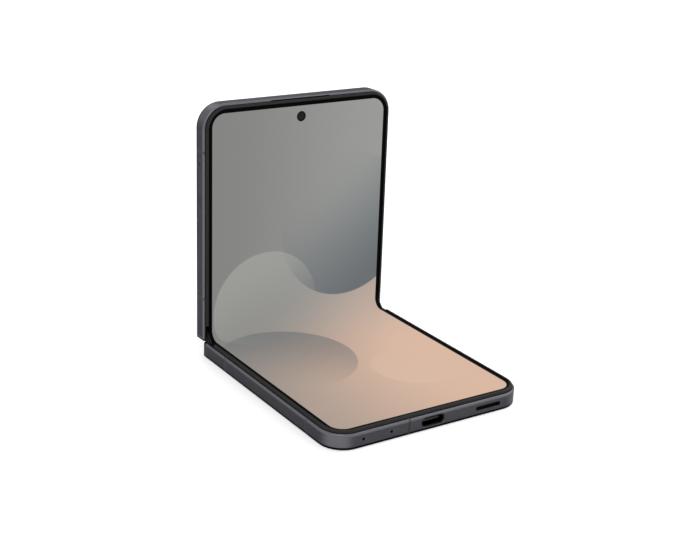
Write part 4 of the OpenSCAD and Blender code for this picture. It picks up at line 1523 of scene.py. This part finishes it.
@dataclass
class BodyDress:
    """Gives every CAD node that stays its finish."""

    phone: PhoneLayout
    kit: EffectKit
    nodes: dict[str, bpy.types.Object]
    black: Finish = MouldedPlastic(tone(18, 18, 19), 0.5)
    made: dict[Finish, bpy.types.Material] = field(default_factory=dict)

    def outer(self) -> dict[str, Finish]:
        """Lists the finishes of single nodes by the node's name.

        Returns:
            The finishes.
        """
        phone = self.phone
        key = PlainMetal(tone(70, 70, 75), 0.38, EVEN, grain=0.00012, edge=0.00015, edge_tint=0.4)
        breaks = MouldedPlastic(tone(42, 41, 45), 0.5, 0.0001, 0.2, Half.LOWER)
        return {
            "lower_frame": AnodisedMetal(),
            "upper_frame": AnodisedMetal(end_line=0.6, half=Half.UPPER),
            "lower_trim": RaisedTrim(half=Half.LOWER),
            "upper_trim": RaisedTrim(half=Half.UPPER),
            "lower_antenna_breaks": breaks,
            "upper_antenna_breaks": replace(breaks, half=Half.UPPER),
            "lower_back_glass": SmoothGlass(tone(52, 52, 56), 0.34, 0.6),
            "cover_glass": SmoothGlass(tone(8, 8, 10), 0.06, 0.0, 0.3),
            "cover_screen": SmoothGlass(tone(8, 8, 10), 0.12),
            "camera_lens_glass": self.black,
            "camera_rings": TurnedFace(
                tone(132, 132, 138), tone(104, 104, 110), phone.rear_cameras, pitch=0.12, depth=0.00001
            ),
            "charging_coil": TurnedFace(
                tone(196, 122, 66), tone(110, 58, 28), (phone.coil,), 0.45, 0.00012, 1.0, 0.3, Half.LOWER
            ),
            "flash_lamp": TurnedFace(
                tone(250, 240, 205), tone(226, 208, 150), (phone.flash,), 0.3, 0.00008, 0.0, 0.2
            ),
            "front_camera": LensFace(
                (phone.front_camera,), 1.3, 1.42, tone(28, 28, 27), tone(31, 31, 30), specular=0.06
            ),
            "spine_cover": PlainMetal(
                tone(74, 74, 80), 0.3, (0.04, 1.0, 1.0), 0.00015, 0.0002, 0.6, shade_beyond=phone.spine_half_w
            ),
            "side_key": key,
            "volume_key": key,
            "card_tray": PlainMetal(tone(82, 82, 86), 0.42, EVEN, grain=0.00012, edge_tint=0.35),
            "fold_end_caps": RidgedCap(),
            "usb_port_shell": PlainMetal(tone(36, 36, 39), 0.4, EVEN, grain=0.0001, edge=0.00005),
            "usb_port_tongue": MouldedPlastic(tone(16, 16, 17), 0.45),
            "hinge_flex_cables": FlexFilm(),
            "bottom_microphones": PlainMetal(tone(190, 176, 130), 0.3),
            "vibration_motor": PlainMetal(tone(168, 169, 172), 0.25),
        }

    def table(self) -> dict[str, Finish]:
        """Lists the finish of each node by its name.

        Returns:
            The finishes, with the ones that several nodes share.
        """
        found = self.outer()
        for finish, names in (
            (self.black, "fold_screen lower_screen upper_screen"),
            (self.black, "loudspeaker earpiece key_switches rear_camera_main rear_camera_wide"),
            (
                PlainMetal(tone(158, 160, 164), 0.32),
                "lower_midplate upper_midplate lower_wing_plate upper_wing_plate",
            ),
            (
                PlainMetal(tone(138, 139, 143), 0.26, (0.08, 1.0, 1.0)),
                "lower_hinge_bracket upper_hinge_bracket rail_blocks sync_gear_block",
            ),
            (
                PlainMetal(tone(176, 177, 180), 0.24, (1.0, 0.1, 1.0)),
                "sub_board_shield board_shields card_reader",
            ),
            (
                PlainMetal(tone(172, 173, 176), 0.2, EVEN, grain=0.0001),
                "lower_screws upper_screws hinge_screws idler_pins detent_springs",
            ),
            (
                PlainMetal(tone(186, 160, 104), 0.25, (1.0, 1.0, 0.2), grain=0.00015),
                "sync_gear_1 sync_gear_2 sync_gear_3 sync_gear_4",
            ),
            (CircuitBoard(), "sub_board main_board"),
            (PerforatedMesh(), "speaker_mesh earpiece_mesh"),
            (RolledFoil(), "lower_battery upper_battery"),
        ):
            found.update(dict.fromkeys(names.split(), finish))
        return found

    def build(self) -> None:
        """Puts each finish on its nodes; a node without one stops the script."""
        table = self.table()
        missing = sorted(set(self.nodes) - set(table))
        if missing:
            raise ValueError(f"no finish for {missing}")
        for name, finish in table.items():
            if finish not in self.made:
                self.made[finish] = finish.build(f"{type(finish).__name__}_{len(self.made)}", self.kit)
            node = self.nodes[name]
            node.data.materials.clear()
            node.data.materials.append(self.made[finish])
            LOG.info("node %s: %s", name, self.made[finish].name)


@dataclass
class Studio:
    """White room, soft lamps and the camera of the photograph."""

    kit: EffectKit
    azimuth: float = -34.285
    elevation: float = 20.109
    roll: float = 2.727
    shift: Triple = (-17.096, -23.282, -480.731)
    lens: float = 69.27
    sensor_w: float = 36.0
    world_light: float = 0.62
    floor_glow: float = 0.4
    lamp_target: Triple = (0.0, 0.02, 0.04)

    def camera(self) -> None:
        """Places the camera."""
        a, e, r = (math.radians(v) for v in (self.azimuth, self.elevation, self.roll))
        back = Vector((math.sin(a) * math.cos(e), -math.cos(a) * math.cos(e), math.sin(e)))
        right = Vector((math.cos(a), math.sin(a), 0.0))
        up = back.cross(right)
        right, up = right * math.cos(r) + up * math.sin(r), up * math.cos(r) - right * math.sin(r)
        axes = Matrix((right, up, back)).transposed()
        place = -(axes @ Vector(self.shift)) + Vector((0, self.kit.phone.half_len / 2, 0))
        data = bpy.data.cameras.new("camera")
        data.lens = self.lens
        data.sensor_width = self.sensor_w
        data.clip_start = 0.01
        data.clip_end = 20.0
        camera = bpy.data.objects.new("camera", data)
        camera.matrix_world = Matrix.Translation(place * MM) @ axes.to_4x4()
        bpy.context.scene.collection.objects.link(camera)
        bpy.context.scene.camera = camera

    def world(self) -> None:
        """Makes the world soft light, and plain white where it is seen or mirrored."""
        world = bpy.data.worlds.new("studio_world")
        world.use_nodes = True
        net = Wiring(world.node_tree)
        background = net.tree.nodes["Background"]
        background.inputs["Color"].default_value = WHITE
        path = net.add("ShaderNodeLightPath").outputs
        seen = net.largest(path["Is Camera Ray"], path["Is Glossy Ray"], path["Is Transmission Ray"])
        net.feed(background.inputs["Strength"], net.step(seen, 0.0, 1.0, self.world_light, 1.0))
        bpy.context.scene.world = world

    def floor(self) -> None:
        """Makes the pale floor, which keeps the phone's shadow."""
        mesh = bmesh.new()
        bmesh.ops.create_grid(mesh, x_segments=1, y_segments=1, size=3.0)
        net = Surface("floor", self.kit)
        path = net.add("ShaderNodeLightPath").outputs
        seen = net.largest(path["Is Camera Ray"], path["Is Glossy Ray"])
        net.paint(
            Base_Color=(0.9, 0.9, 0.9, 1.0),
            Roughness=0.9,
            Specular_IOR_Level=0.0,
            Emission_Color=WHITE,
            Emission_Strength=net.times(seen, self.floor_glow),
        )
        floor = new_piece("floor", mesh, net.material)

    def lamp(self, name: str, place: Triple, size: float, watts: float) -> None:
        """Adds a square soft lamp that points at the phone.

        Args:
            name: Its name.
            place: Where it is, in metres.
            size: Its side in metres.
            watts: Its power.
        """
        data = bpy.data.lights.new(name, "AREA")
        data.size = size
        data.energy = watts
        lamp = bpy.data.objects.new(name, data)
        lamp.location = place
        lamp.rotation_euler = (Vector(self.lamp_target) - Vector(place)).to_track_quat("-Z", "Y").to_euler()
        bpy.context.scene.collection.objects.link(lamp)

    def build(self) -> None:
        """Sets up world, floor, lamps and camera."""
        self.world()
        self.floor()
        self.lamp("key_lamp", (-0.5, -0.55, 0.75), 0.5, 2.4)
        self.lamp("fill_lamp", (0.7, -0.2, 0.5), 0.6, 2.4)
        self.lamp("rear_lamp", (0.2, 0.8, 0.6), 0.6, 1.6)
        self.camera()
        bpy.context.scene.view_settings.view_transform = "Standard"


def main() -> None:
    """Loads the frame and builds the looks around it."""
    logging.basicConfig(level=logging.INFO, format="%(message)s")
    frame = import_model()
    kit = EffectKit(PHONE)
    Studio(kit).build()
    BodyDress(PHONE, kit, frame["nodes"]).build()
    pieces = BendingScreen(PHONE, kit).build() + HingeRibbons(PHONE, kit).build()
    pieces += [RearOptics(PHONE, kit).build(), PortContacts(PHONE, kit).build()]
    for piece in pieces:
        LOG.info("piece %s", piece.name)


if __name__ == "__main__":
    main()
